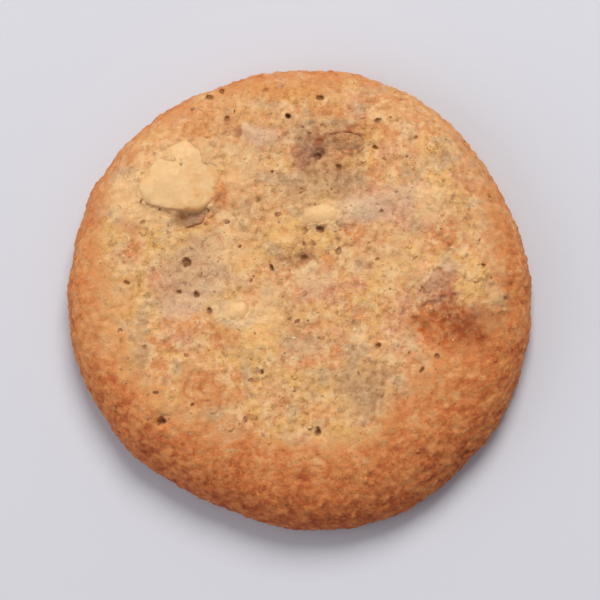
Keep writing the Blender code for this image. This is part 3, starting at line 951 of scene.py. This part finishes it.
def finish(slot, colours):
    """The material of a slot, made when it is first asked for."""
    name = f"{slot}_fine"
    if name in bpy.data.materials:
        return bpy.data.materials[name]
    look, gloss, soft_share, soft_depth, strength, rise, grain, mottle, speck, specks = LOOKS[slot]
    material = bpy.data.materials.new(name)
    material.use_nodes = True
    tree = material.node_tree
    place = add(tree, "ShaderNodeTexCoord")["Object"]
    sizes = {"Grain Length": grain, "Mottle Length": mottle, "Speck Length": speck, "Speck Share": specks}
    sand = add(tree, "ShaderNodeGroup", {"Vector": place, **sizes}, node_tree=sandy_grain_group())
    colour, roughness, height = look(tree, place, sand, colours)
    bump = add(tree, "ShaderNodeBump", {"Height": height, "Strength": strength, "Distance": rise})[0]
    inputs = {
        "Base Color": colour,
        "Roughness": roughness,
        "Normal": bump,
        "Specular IOR Level": gloss,
        "Subsurface Weight": soft_share,
        "Subsurface Radius": LIGHT_REACH,
        "Subsurface Scale": soft_depth,
    }
    fill(tree, tree.nodes["Principled BSDF"], inputs)
    return material


# ---------------------------------------------------------------- almonds
def cut(shape, facing, reach, flatness):
    """Presses what lies beyond a plane back to it."""
    for vert in shape.verts:
        beyond = vert.co.dot(facing) - reach
        if beyond > 0.0:
            vert.co -= facing * beyond * flatness


def chopped_solid(almond, number, rounds):
    """A chopped piece as the solid has it: a ball cut flat by a few planes, squeezed, turned and set in."""
    _, x, y, half_long, half_wide, half_deep, turn, tip, stands = almond
    chance = np.random.RandomState(CHOP_SEED + number)
    shape = bmesh.new()
    bmesh.ops.create_icosphere(shape, subdivisions=rounds, radius=1.0)
    for _ in range(CHOP_PLANES):
        facing = Vector(chance.normal(size=3)).normalized()
        reach = chance.uniform(CHOP_LEAST, CHOP_MOST)
        cut(shape, facing, reach, CHOP_FLATNESS)
    for _ in range(CHIPS):
        facing = Vector(chance.normal(size=3)).normalized()
        farthest = max(vert.co.dot(facing) for vert in shape.verts)
        cut(shape, facing, farthest - chance.uniform(CHIP_LEAST, 1.0) * CHIP_MOST, 1.0)
    size = Matrix.Diagonal((half_long, half_wide, half_deep, 1.0))
    pose = Euler((radians(tip), radians(tip / 2), radians(turn))).to_matrix().to_4x4()
    bmesh.ops.transform(shape, matrix=pose @ size, verts=shape.verts)
    top = max(vert.co.z for vert in shape.verts)
    bmesh.ops.translate(shape, vec=(x, y, top_height(x, y) + stands - top), verts=shape.verts)
    return shape


def outward_bend(shape):
    """How sharply the surface turns outward at each point: 0 on a flat face, more on an edge."""
    bends = []
    for vert in shape.verts:
        near = [edge.other_vert(vert).co for edge in vert.link_edges]
        span = sum((spot - vert.co).length for spot in near) / len(near)
        middle = sum(near, Vector()) / len(near)
        bends.append((vert.co - middle).dot(vert.normal) / span)
    return np.array(bends)


def almond_mesh(almond, number):
    """A chopped piece with soft edges, a fine rough face, and its toasting stored at each point."""
    name, centre_x, centre_y, half_long, _, _, turn, _, _ = almond
    large = half_long > LARGE_ALMOND
    ridge_height = SKIN_RIDGES if name in SKINNED else FLESH_RIDGES
    side, browner = TOASTED_SIDE_AND_PAINTED_LIGHT.get(name, (0, 0.0))
    shape = chopped_solid(almond, number, ALMOND_ROUNDS + large)
    sharp = outward_bend(shape)
    axes = dict.fromkeys(("use_axis_x", "use_axis_y", "use_axis_z"), True)
    for _ in range(1 + large):
        bmesh.ops.smooth_vert(shape, verts=shape.verts, factor=0.5, **axes)
    shape.normal_update()
    along = Vector((cos(radians(turn)), sin(radians(turn)), 0.0))
    toasted, dusty = [], []
    for vert, edge_share in zip(shape.verts, sharp, strict=True):
        x, y, z = vert.co
        far = vert.co.dot(along)
        above = z - top_height(x, y)
        mottle, grit, dents, chips = (
            wave(x, y, z, length, octaves, layer + number) for length, octaves, layer in ALMOND_NOISES
        )
        # Browner towards one side: real toasting, and on the large half partly a painted highlight on the
        # paler side
        browned = browner * seen_from(x, y, centre_x, centre_y, radians(side))[0] / half_long
        high = smooth_step(above, 0.0, TOASTED_HEIGHT)
        toasted.append(TOASTED_EDGE * edge_share + TOASTED_PATCH * mottle + TOASTED_TOP * high + browned)
        dust_top = above + DUST_WANDER * wave(x, y, z, *DUST_NOISE)
        dusty.append(1.0 - smooth_step(dust_top, DUST_START, DUST_HEIGHT))
        ridges = wave(far / RIDGE_STRETCH, (vert.co - along * far).length, z, *RIDGE_NOISE)
        chip = CHIP_DEPTH * smooth_step(chips, CHIP_START, CHIP_FULL) * min(1.0, CHIP_EDGE * edge_share)
        vert.co += vert.normal * (FACE_ROUGHNESS * grit + ridge_height * ridges + DENT_DEPTH * dents - chip)
    mesh = bpy.data.meshes.new(name)
    shape.to_mesh(mesh)
    shape.free()
    mesh.shade_smooth()
    point_values(mesh, "toasted", np.clip(toasted, 0.0, 1.0))
    point_values(mesh, "dusted", dusty)
    point_values(mesh, "tone", np.full(len(toasted), TONES.get(name, 0.0)))
    return mesh


# ---------------------------------------------------------------- dough
def browned_amount(x, y, down):
    """How much the crust has baked, from 0 in the pale middle to 1 at the dark foot."""
    angle = atan2(y, x)
    ways, *columns = zip(*BROWN_EDGE, strict=True)
    start, step, most = (np.interp(np.degrees(angle), ways, column, period=360) for column in columns)
    uneven = sum(share * wave(x, y, 0.0, *patch) for share, patch in BAKING_NOISES)
    out = hypot(x, y) / outline_radius(angle) + uneven
    if down < 1.0:
        sharp = SHARP_SHARE * smooth_step(out, start, start + step)
        slow = SLOW_SHARE * smooth_step(out, start + SLOW_START * step, SLOW_END)
        flush = FLUSH * (1.0 - FLUSH_LEAN * sin(angle)) * smooth_step(out, FLUSH_START, FLUSH_END)
        return most * (sharp + slow) + flush + FOOT_BROWN * down
    edge = UNDERSIDE_EDGE * smooth_step(out, UNDERSIDE_EDGE_START, UNDERSIDE_EDGE_END)
    return UNDERSIDE_BROWN + edge + UNDERSIDE_MOTTLE * uneven - PIT_PALER * pitted(x, y)


def pitted(x, y):
    """The shallow pits in the underside: 1 on a pit's floor, 0 where the dough lay on the tray."""
    return smooth_step(wave(x, y, 0.0, *PIT_NOISE), PIT_START, PIT_FULL)


def laid_over(stain, colour, share):
    """A stain, as colour and strength, with some more colour laid over it."""
    strength = stain[3] + share - stain[3] * share
    mixed = np.array(stain[:3])
    mixed = mixed + (colour - mixed) * share / max(1e-6, strength)
    return (*mixed, strength)


def stain_at(x, y):
    """Colour and strength of the stains at a place: almond and skin under thin dough, singed spots, and
    painted shade by the recess and on the mound.
    """
    stained = (0.0, 0.0, 0.0, 0.0)
    wander = STAIN_WANDER * wave(x, y, 0.0, *STAIN_NOISE)
    for stain in STAINS:
        far = oval(x, y, stain)
        if far < STAIN_REACH:
            share = stain[6] * (1.0 - smooth_step(far + wander, STAIN_FULL, STAIN_END))
            stained = laid_over(stained, np.array(stain[5]), share)
    return stained


def lapped(x, y, z, trees, lap):
    """How high the dough lies near an almond: it creeps up the almond's side, and over it where it covers it.
    Also how clearly the almond shows through it, from 0 to 1, and whether it has its skin."""
    shows, skinned = 0.0, 0.0
    for (name, centre_x, centre_y, half_long, *_), tree in trees:
        if hypot(x - centre_x, y - centre_y) > LAP_FAR * half_long + LAPS_FAR * lap:
            continue
        way, film, reach = COVERED.get(name, (0.0, 0.0, -2.0))
        across = seen_from(x, y, centre_x, centre_y, radians(way))[0] / half_long
        cover = COVER_LEAN * across + reach + LIP_WANDER * wave(x, y, 0.0, LIP_BAYS * half_long, *LIP_DETAIL)
        heaped = LAP_LEAST + LAP_LEAN * smooth_step(across, LAP_LEAN_START, LAP_LEAN_END)
        heaped += BLANKET * smooth_step(cover, BLANKET_START, BLANKET_END)
        own_lap = lap * (1.0 + half_long / LAP_GROWTH) * heaped
        _, _, _, away = tree.find_nearest(Vector((x, y, z)))
        ragged = LAP_EVEN + LAP_RAGGED * wave(x, y, 0.0, *LAP_NOISE)
        z += own_lap * ragged * np.exp(-((away / (LAP_WIDTH * own_lap)) ** 2))
        hit = tree.ray_cast(Vector((x, y, LOOK_DOWN_FROM)), Vector((0.0, 0.0, -1.0)))[0]
        if hit is None:
            continue
        if name in COVERED and cover > 0.0:
            z = max(z, hit.z + film * min(1.0, cover / LIP_WIDTH) ** 0.5)
        through = np.exp(-max(0.0, z - hit.z) / THIN_FILM)
        if through > shows:
            shows, skinned = through, float(name in SKINNED)
    return z, shows, skinned


def pore_dip(x, y, pore):
    """How far down in a pore a place lies, from 0 at its rim to 1 on its floor."""
    centre_x, centre_y, radius, _ = pore
    along, across = seen_from(x, y, centre_x, centre_y, PORE_TURNS * (centre_x + centre_y))
    far = hypot(along * PORE_NARROWNESS, across / PORE_NARROWNESS) / radius
    if far > PORE_REACH:
        return 0.0
    return 1.0 - smooth_step(far + PORE_WANDER * wave(x, y, 0.0, *PORE_NOISE), PORE_FLOOR, 1.0)


def recess_at(x, y):
    """How far the crust is recessed at a place by a piece of skin."""
    wander = RECESS_WANDER * wave(x, y, 0.0, *RECESS_NOISE)
    steps = (smooth_step(oval(x, y, patch) + wander, RECESS_FLOOR, RECESS_END) for patch in RECESSES)
    return max(patch[5] * (1.0 - step) for patch, step in zip(RECESSES, steps, strict=True))


def refine(shape, near, cuts):
    """Cuts the dough's faces smaller where a test says so, and brings the new points onto the crust."""
    below = shape.verts.layers.float["underneath"]
    shape.faces.ensure_lookup_table()
    edges = set()
    for face in shape.faces:
        if all(vert[below] == 0.0 for vert in face.verts) and near(*face.calc_center_median().xy):
            edges.update(face.edges)
    made = bmesh.ops.subdivide_edges(shape, edges=list(edges), cuts=cuts, use_grid_fill=True)
    for vert in {thing for thing in made["geom_inner"] if isinstance(thing, bmesh.types.BMVert)}:
        if vert[below] == 0.0:
            vert.co.z = top_height(vert.co.x, vert.co.y)


def fine_net(trees):
    """The dough as a mesh, before its crumb, with smaller faces round its large pores and its almonds."""
    points, faces = dough_net(TOP_CELLS, FOOT_CELLS)
    mesh = bpy.data.meshes.new("dough")
    mesh.from_pydata(points[:, :3].tolist(), [], faces)
    point_values(mesh, "underneath", points[:, 3])
    point_values(mesh, "reach", points[:, 4])
    shape = bmesh.new()
    shape.from_mesh(mesh)

    def near_almond(x, y):
        for (_, centre_x, centre_y, half_long, *_), tree in trees:
            if hypot(x - centre_x, y - centre_y) < ALMOND_ROOM * half_long + NEAR_ALMOND:
                if tree.find_nearest(Vector((x, y, top_height(x, y))))[3] < NEAR_ALMOND:
                    return True
        return False

    def near_pore(x, y):
        return any(hypot(x - pore[0], y - pore[1]) < PORE_ROOM * pore[2] + NEAR_PORE for pore in PORES)

    refine(shape, near_almond, 1)
    refine(shape, near_pore, 2)
    shape.to_mesh(mesh)
    shape.free()
    mesh.shade_smooth()
    return mesh


def lay_out(mesh):
    """Lays the surface out flat in a UV map: the top and foot as one disc, and the underside as another."""
    down, reach = values_at_points(mesh, "underneath"), values_at_points(mesh, "reach")
    spots = np.array([vert.co for vert in mesh.vertices])
    angle = np.arctan2(spots[:, 1], spots[:, 0])
    ways = np.stack([np.cos(angle), np.sin(angle)], axis=1)
    upper = TOP_DISC_MIDDLE + TOP_DISC * (reach / (1.0 + FOOT_REACH))[:, None] * ways
    lower = UNDERSIDE_DISC_MIDDLE + UNDERSIDE_DISC * spots[:, :2] / RADIUS
    corners = np.zeros(len(mesh.loops), np.int32)
    mesh.loops.foreach_get("vertex_index", corners)
    starts = np.array([face.loop_start for face in mesh.polygons])
    sizes = np.array([face.loop_total for face in mesh.polygons])
    underneath = np.repeat(np.minimum.reduceat(down[corners], starts) == 1.0, sizes)
    spread = np.where(underneath[:, None], lower[corners], upper[corners])
    mesh.uv_layers.new(name="OFBake").data.foreach_set("uv", spread.astype(np.float32).ravel())


def plain_dough(sizes, colours):
    """The dough before its crumb: the solid's form, lapped round the almonds, with its large pores."""
    trees = []
    for number, almond in enumerate(ALMONDS):
        shape = chopped_solid(almond, number, ALMOND_ROUNDS)
        trees.append((almond, BVHTree.FromBMesh(shape)))
        shape.free()
    mesh = fine_net(trees)
    lay_out(mesh)
    tints = np.array(colours.film), np.array(colours.skin_film)
    stains, values = [], []
    for vert, down in zip(mesh.vertices, values_at_points(mesh, "underneath"), strict=True):
        x, y, z = vert.co
        dip, shows, stain = 0.0, 0.0, (0.0, 0.0, 0.0, 0.0)
        if down == 0.0:
            z, shows, skinned = lapped(x, y, z, trees, sizes.lap)
            depth = max(pore_dip(x, y, pore) * pore[3] * (1.0 - shows) for pore in PORES)
            # A point deep in a pore gets painted shade, by its depth
            dip = min(1.0, depth / FULL_SHADE_PORE_DEPTH)
            vert.co.z = z - depth - recess_at(x, y)
            stain = laid_over(stain_at(x, y), tints[round(skinned)], SHOWS_THROUGH * shows)
        elif down == 1.0:
            vert.co.z = z + UNDERSIDE_PIT * pitted(x, y) * (hypot(x, y) < PITS_END)
        browned = browned_amount(x, y, down)
        # Strewn bits keep away from pores, almonds, the foot and the brown rim
        chance = (1.0 - dip) * (1.0 - down) * (1.0 - shows) ** 2 * (1.0 - min(1.0, browned)) ** 2
        stains.append(stain)
        values.append((browned, dip, chance, 1.0 - shows))
    for name, column in zip(("browned", "pore_dark", "chance", "doughy"), zip(*values), strict=True):
        point_values(mesh, name, column)
    point_colours(mesh, "stain", stains)
    return mesh


def pore_layer(tree, place, spacing, wider, least, most, share, shift):
    """Small round pits at random places: 1 on a pit's floor, 0 between the pits."""
    scale = per(tree, times(tree, spacing, wider))
    cells = cells_at(tree, vectors(tree, "ADD", place, (shift, shift, shift)), scale)
    draws = draws_of(tree, cells)
    size = maths(tree, "MULTIPLY_ADD", draws[1], most - least, least)
    pit = ranged(tree, maths(tree, "DIVIDE", cells["Distance"], size), 0.45, 1.0, 1.0, 0.0)
    return times(tree, pit, maths(tree, "LESS_THAN", draws[0], share))


def crust_tree():
    """Geometry Nodes that raise crumb and grain on the dough and prick it with pores."""
    sizes = {
        "Crumb Height": 0.0001,
        "Crumb Length": 0.001,
        "Grain Height": 0.00003,
        "Grain Length": 0.0004,
        "Pore Depth": 0.0002,
        "Pore Spacing": 0.0015,
    }
    inputs = {"Dough": "Geometry", **sizes, "Crust": "Material"}
    tree, given, end = new_tree("crust_relief", "GeometryNodeTree", inputs, {"Crust": "Geometry"})
    place = add(tree, "GeometryNodeInputPosition")[0]
    normal = add(tree, "GeometryNodeInputNormal")[0]
    doughy = stored(tree, "doughy")
    bent = vectors(tree, "ADD", place, sway(tree, place, *CRUMB_SWAY))
    lump_inputs = {"Vector": bent, "Scale": per(tree, given["Crumb Length"]), "Smoothness": 0.55}
    lumps = add(tree, "ShaderNodeTexVoronoi", lump_inputs, feature="SMOOTH_F1")["Distance"]
    lumps = ranged(tree, lumps, 0.05, 0.70, 1.0, 0.0, "LINEAR")
    rolls = noise_at(tree, bent, per(tree, given["Crumb Length"], 0.55), 4.0, 0.62)[0]
    crumb = plus(tree, times(tree, lumps, LUMP_SHARE), times(tree, rolls, ROLL_SHARE))
    grain = noise_at(tree, place, per(tree, given["Grain Length"]), 2.0, 0.7)[0]
    layers = [pore_layer(tree, bent, given["Pore Spacing"], *layer) for layer in PORE_LAYERS]
    pores = times(tree, maths(tree, "MAXIMUM", *layers), doughy)
    crumb_height = times(tree, given["Crumb Height"], maths(tree, "MULTIPLY_ADD", doughy, 2.0, 1.0))
    sandy = swing(tree, grain, times(tree, given["Grain Height"], 3.0))
    rise = plus(tree, swing(tree, crumb, crumb_height), sandy)
    rise = maths(tree, "SUBTRACT", rise, times(tree, pores, given["Pore Depth"]))
    flatter = ranged(tree, stored(tree, "underneath"), 0.55, 1.0, 1.0, 0.45)
    dough = moved(tree, given["Dough"], Offset=scaled(tree, normal, times(tree, rise, flatter)))
    dough = store(tree, dough, "crumb", crumb)
    dough = moved(tree, dough, Position=vectors(tree, "MAXIMUM", place, (-1.0, -1.0, 0.0)))
    # The painted shade of the large pores, and of the small pores as well
    dark = maths(tree, "MAXIMUM", stored(tree, "pore_dark"), times(tree, pores, SMALL_PORE_SHADE))
    dough = store(tree, dough, "pore_dark", dark)
    dough = add(tree, "GeometryNodeRealizeInstances", {0: dough})[0]
    dressed = add(tree, "GeometryNodeSetMaterial", {"Geometry": dough, "Material": given["Crust"]})[0]
    fill(tree, end, {"Crust": dressed})
    return tree


def scatter_tree():
    """Geometry Nodes that strew small lumpy bits over the dough, each sunk a little way into it."""
    sizes = {
        "Density": 1.0,
        "Least Size": 0.0001,
        "Most Size": 0.0003,
        "Length": 1.0,
        "Flatness": 1.0,
        "Upright": 0.0,
        "Standing": 0.3,
        "Lumpiness": 0.3,
        "Rounds": 1,
        "Clumping": 0.5,
        "Seed": 0,
    }
    inputs = {"Dough": "Geometry", **sizes, "Finish": "Material"}
    tree, given, end = new_tree("strewn_bits", "GeometryNodeTree", inputs, {"Bits": "Geometry"})
    place = add(tree, "GeometryNodeInputPosition")[0]
    clumping = times(tree, given["Clumping"], CLUMP_STRENGTH)
    clumps = swing(tree, noise_at(tree, place, CLUMP_SCALE, 2.0)[0], clumping)
    likely = times(tree, stored(tree, "chance"), maths(tree, "MAXIMUM", plus(tree, clumps, 1.0), 0.0))
    spread = add(
        tree,
        "GeometryNodeDistributePointsOnFaces",
        {"Mesh": given["Dough"], "Density": times(tree, given["Density"], likely), "Seed": given["Seed"]},
        distribute_method="RANDOM",
    )
    draw = drawn_share(tree, given["Seed"])
    growth = maths(tree, "SUBTRACT", given["Most Size"], given["Least Size"])
    size = plus(tree, given["Least Size"], times(tree, times(tree, draw, draw), growth))
    points = store(tree, spread["Points"], "bit_size", size)
    kept_size = stored(tree, "bit_size")
    lift = scaled(tree, spread["Normal"], times(tree, kept_size, given["Standing"]))
    points = moved(tree, points, Offset=lift)
    ball = add(tree, "GeometryNodeMeshIcoSphere", {"Radius": 1.0, "Subdivisions": given["Rounds"]})[0]
    tumble = drawn(tree, plus(tree, given["Seed"], TUMBLE_SEED), -pi, pi)
    loose = scaled(tree, tumble, maths(tree, "SUBTRACT", 1.0, given["Upright"]))
    spin = vectors(tree, "MULTIPLY", tumble, (0.0, 0.0, 1.0))
    turned = add(
        tree,
        "FunctionNodeRotateRotation",
        {"Rotation": spread["Rotation"], "Rotate By": vectors(tree, "ADD", loose, spin)},
        rotation_space="LOCAL",
    )[0]
    shape = drawn(tree, plus(tree, given["Seed"], SHAPE_SEED), BIT_LEAST, BIT_MOST)
    stretch = add(tree, "ShaderNodeCombineXYZ", {0: given["Length"], 1: 1.0, 2: given["Flatness"]})[0]
    scale = scaled(tree, vectors(tree, "MULTIPLY", shape, stretch), kept_size)
    inputs = {"Points": points, "Instance": ball, "Rotation": turned, "Scale": scale}
    bits = add(tree, "GeometryNodeInstanceOnPoints", inputs)[0]
    tone = drawn_share(tree, plus(tree, given["Seed"], TONE_SEED))
    tone = ranged(tree, tone, 0.0, 1.0, -1.0, 1.0, "LINEAR")
    bits = store(tree, bits, "tone", tone, "INSTANCE")
    bits = add(tree, "GeometryNodeRealizeInstances", {0: bits})[0]
    lumpiness = times(tree, kept_size, times(tree, given["Lumpiness"], 4.0))
    bits = moved(tree, bits, Offset=sway(tree, place, per(tree, given["Most Size"], 0.8), 1.0, lumpiness))
    dressed = add(tree, "GeometryNodeSetMaterial", {"Geometry": bits, "Material": given["Finish"]})[0]
    fill(tree, end, {"Bits": dressed})
    return tree


# ---------------------------------------------------------------- operators
def settings():
    return bpy.context.scene.biscuit_sizes, bpy.context.scene.biscuit_colours


class BISCUIT_OT_bake_dough(bpy.types.Operator):
    """Bakes the dough with its crumb, grain and pores"""

    bl_idname = "biscuit.bake_dough"
    bl_label = "Bake the Dough"

    def execute(self, context):
        sizes, colours = settings()
        dough = piece_of("dough", plain_dough(sizes, colours))
        dough.data = grown(
            dough,
            crust_tree(),
            crumb_height=sizes.crumb_height,
            crumb_length=sizes.crumb_length,
            grain_height=sizes.grain_height,
            grain_length=sizes.grain_length,
            pore_depth=sizes.pore_depth,
            pore_spacing=sizes.pore_spacing,
            crust=finish("baked_crust", colours),
        )
        settle(dough.data)
        finish_piece(dough, "baked_crust", SOLID)
        return {"FINISHED"}


class BISCUIT_OT_set_almonds(bpy.types.Operator):
    """Sets the chopped almond pieces into the dough"""

    bl_idname = "biscuit.set_almonds"
    bl_label = "Set the Almonds"

    def execute(self, context):
        _, colours = settings()
        for number, almond in enumerate(ALMONDS):
            slot = "almond_skin" if almond[0] in SKINNED else "almond_flesh"
            mesh = almond_mesh(almond, number)
            mesh.materials.append(finish(slot, colours))
            settle(mesh)
            finish_piece(piece_of(almond[0], mesh), slot)
        return {"FINISHED"}


def strew(name, slot, count, **inputs):
    """Strews one kind of bit over the dough as one plain mesh."""
    dough = bpy.data.objects.get("dough")
    if dough is None:
        raise RuntimeError("bake the dough first")
    tree = bpy.data.node_groups.get("strewn_bits") or scatter_tree()
    _, colours = settings()
    mesh = grown(dough, tree, finish=finish(slot, colours), density=count / TOP_AREA, **inputs)
    mesh.name = name
    finish_piece(piece_of(name, mesh), slot)


class BISCUIT_OT_strew_grains(bpy.types.Operator):
    """Strews sandy grains and larger crumbs over the crust"""

    bl_idname = "biscuit.strew_grains"
    bl_label = "Strew Grains and Crumbs"

    def execute(self, context):
        sizes, _ = settings()
        strew(
            "sandy_grains", "baked_crust", sizes.grains, least_size=0.00005, most_size=0.00015,
            standing=-0.1, lumpiness=0.22, rounds=1, clumping=0.9, seed=3,
        )
        strew(
            "crumbs", "baked_crust", sizes.crumbs, least_size=0.00014, most_size=0.00042,
            flatness=0.65, upright=0.7, standing=-0.3, lumpiness=0.34, rounds=2, clumping=0.9, seed=11,
        )
        return {"FINISHED"}


class BISCUIT_OT_strew_almond(bpy.types.Operator):
    """Strews fine almond meal and flecks of almond skin over the crust"""

    bl_idname = "biscuit.strew_almond"
    bl_label = "Strew Almond Meal and Skin"

    def execute(self, context):
        sizes, _ = settings()
        strew(
            "almond_meal", "almond_flesh", sizes.meal, least_size=0.00012, most_size=0.00042, length=1.3,
            flatness=0.6, upright=0.85, standing=-0.42, lumpiness=0.34, rounds=2, clumping=1.0, seed=23,
        )
        strew(
            "skin_flecks", "almond_skin", sizes.flecks, least_size=0.00007, most_size=0.00033, length=1.4,
            flatness=0.20, upright=0.95, standing=-0.08, lumpiness=0.30, rounds=2, clumping=1.1, seed=37,
        )
        return {"FINISHED"}


def aimed(thing, spot, target):
    """Puts a lamp or a camera at a spot and turns it to a target, with +Y towards the picture's top."""
    back = (Vector(spot) - Vector(target)).normalized()
    across = Vector((0.0, 1.0, 0.0)).cross(back).normalized()
    turned = Matrix((across, back.cross(across), back)).transposed().to_4x4()
    thing.matrix_world = Matrix.Translation(spot) @ turned


def lamp(name, spot, size, power, colour):
    light = bpy.data.lights.new(name, "AREA")
    light.shape = "DISK"
    light.size = size
    light.energy = power
    light.color = colour
    aimed(piece_of(name, light), spot, (0.0, 0.0, 0.0))


class BISCUIT_OT_dress_stage(bpy.types.Operator):
    """Lays the floor, hangs the lights and sets up the camera"""

    bl_idname = "biscuit.dress_stage"
    bl_label = "Dress the Stage"

    def execute(self, context):
        scene = context.scene
        _, colours = settings()
        shape = bmesh.new()
        bmesh.ops.create_grid(shape, x_segments=2, y_segments=2, size=FLOOR_HALF)
        bmesh.ops.translate(shape, vec=(0.0, 0.0, FLOOR_HEIGHT), verts=shape.verts)
        mesh = bpy.data.meshes.new("floor")
        shape.to_mesh(mesh)
        shape.free()
        material = bpy.data.materials.new("floor")
        material.use_nodes = True
        look = {"Base Color": colours.floor, "Roughness": FLOOR_ROUGHNESS, "Specular IOR Level": FLOOR_GLOSS}
        fill(material.node_tree, material.node_tree.nodes["Principled BSDF"], look)
        mesh.materials.append(material)
        piece_of("floor", mesh)
        for row in LAMPS:
            lamp(*row)
        world = bpy.data.worlds.new("studio")
        world.use_nodes = True
        sky = world.node_tree.nodes["Background"]
        fill(world.node_tree, sky, {"Color": SKY, "Strength": SKY_STRENGTH})
        scene.world = world
        scene.view_settings.view_transform = "Standard"
        lean, way = radians(LEAN), radians(LEAN_WAY)
        target = Vector(TARGET)
        back = Vector((sin(lean) * cos(way), sin(lean) * sin(way), cos(lean)))
        camera = piece_of("camera", bpy.data.cameras.new("camera"))
        aimed(camera, target + back * CAMERA_DISTANCE, target)
        camera.data.lens = camera.data.sensor_width * CAMERA_DISTANCE / FRAME_WIDTH
        camera.data.clip_start = 0.01
        scene.camera = camera
        return {"FINISHED"}


class BISCUIT_PT_panel(bpy.types.Panel):
    """The biscuit's settings and the steps that make it"""

    bl_label = "Almond Biscuit"
    bl_idname = "BISCUIT_PT_panel"
    bl_space_type = "VIEW_3D"
    bl_region_type = "UI"
    bl_category = "Biscuit"

    def draw(self, context):
        for group in settings():
            column = self.layout.column(align=True)
            for name in group.__annotations__:
                column.prop(group, name)
        for step in STEPS:
            self.layout.operator(step.bl_idname)


STEPS = (
    BISCUIT_OT_bake_dough,
    BISCUIT_OT_set_almonds,
    BISCUIT_OT_strew_grains,
    BISCUIT_OT_strew_almond,
    BISCUIT_OT_dress_stage,
)
CLASSES = (BiscuitSizes, BiscuitColours, *STEPS, BISCUIT_PT_panel)


def register():
    for kind in CLASSES:
        bpy.utils.register_class(kind)
    bpy.types.Scene.biscuit_sizes = PointerProperty(type=BiscuitSizes)
    bpy.types.Scene.biscuit_colours = PointerProperty(type=BiscuitColours)


def unregister():
    del bpy.types.Scene.biscuit_colours
    del bpy.types.Scene.biscuit_sizes
    for kind in reversed(CLASSES):
        bpy.utils.unregister_class(kind)


def main():
    register()
    bpy.ops.biscuit.bake_dough()
    bpy.ops.biscuit.set_almonds()
    bpy.ops.biscuit.strew_grains()
    bpy.ops.biscuit.strew_almond()
    bpy.ops.biscuit.dress_stage()


if __name__ == "__main__":
    main()
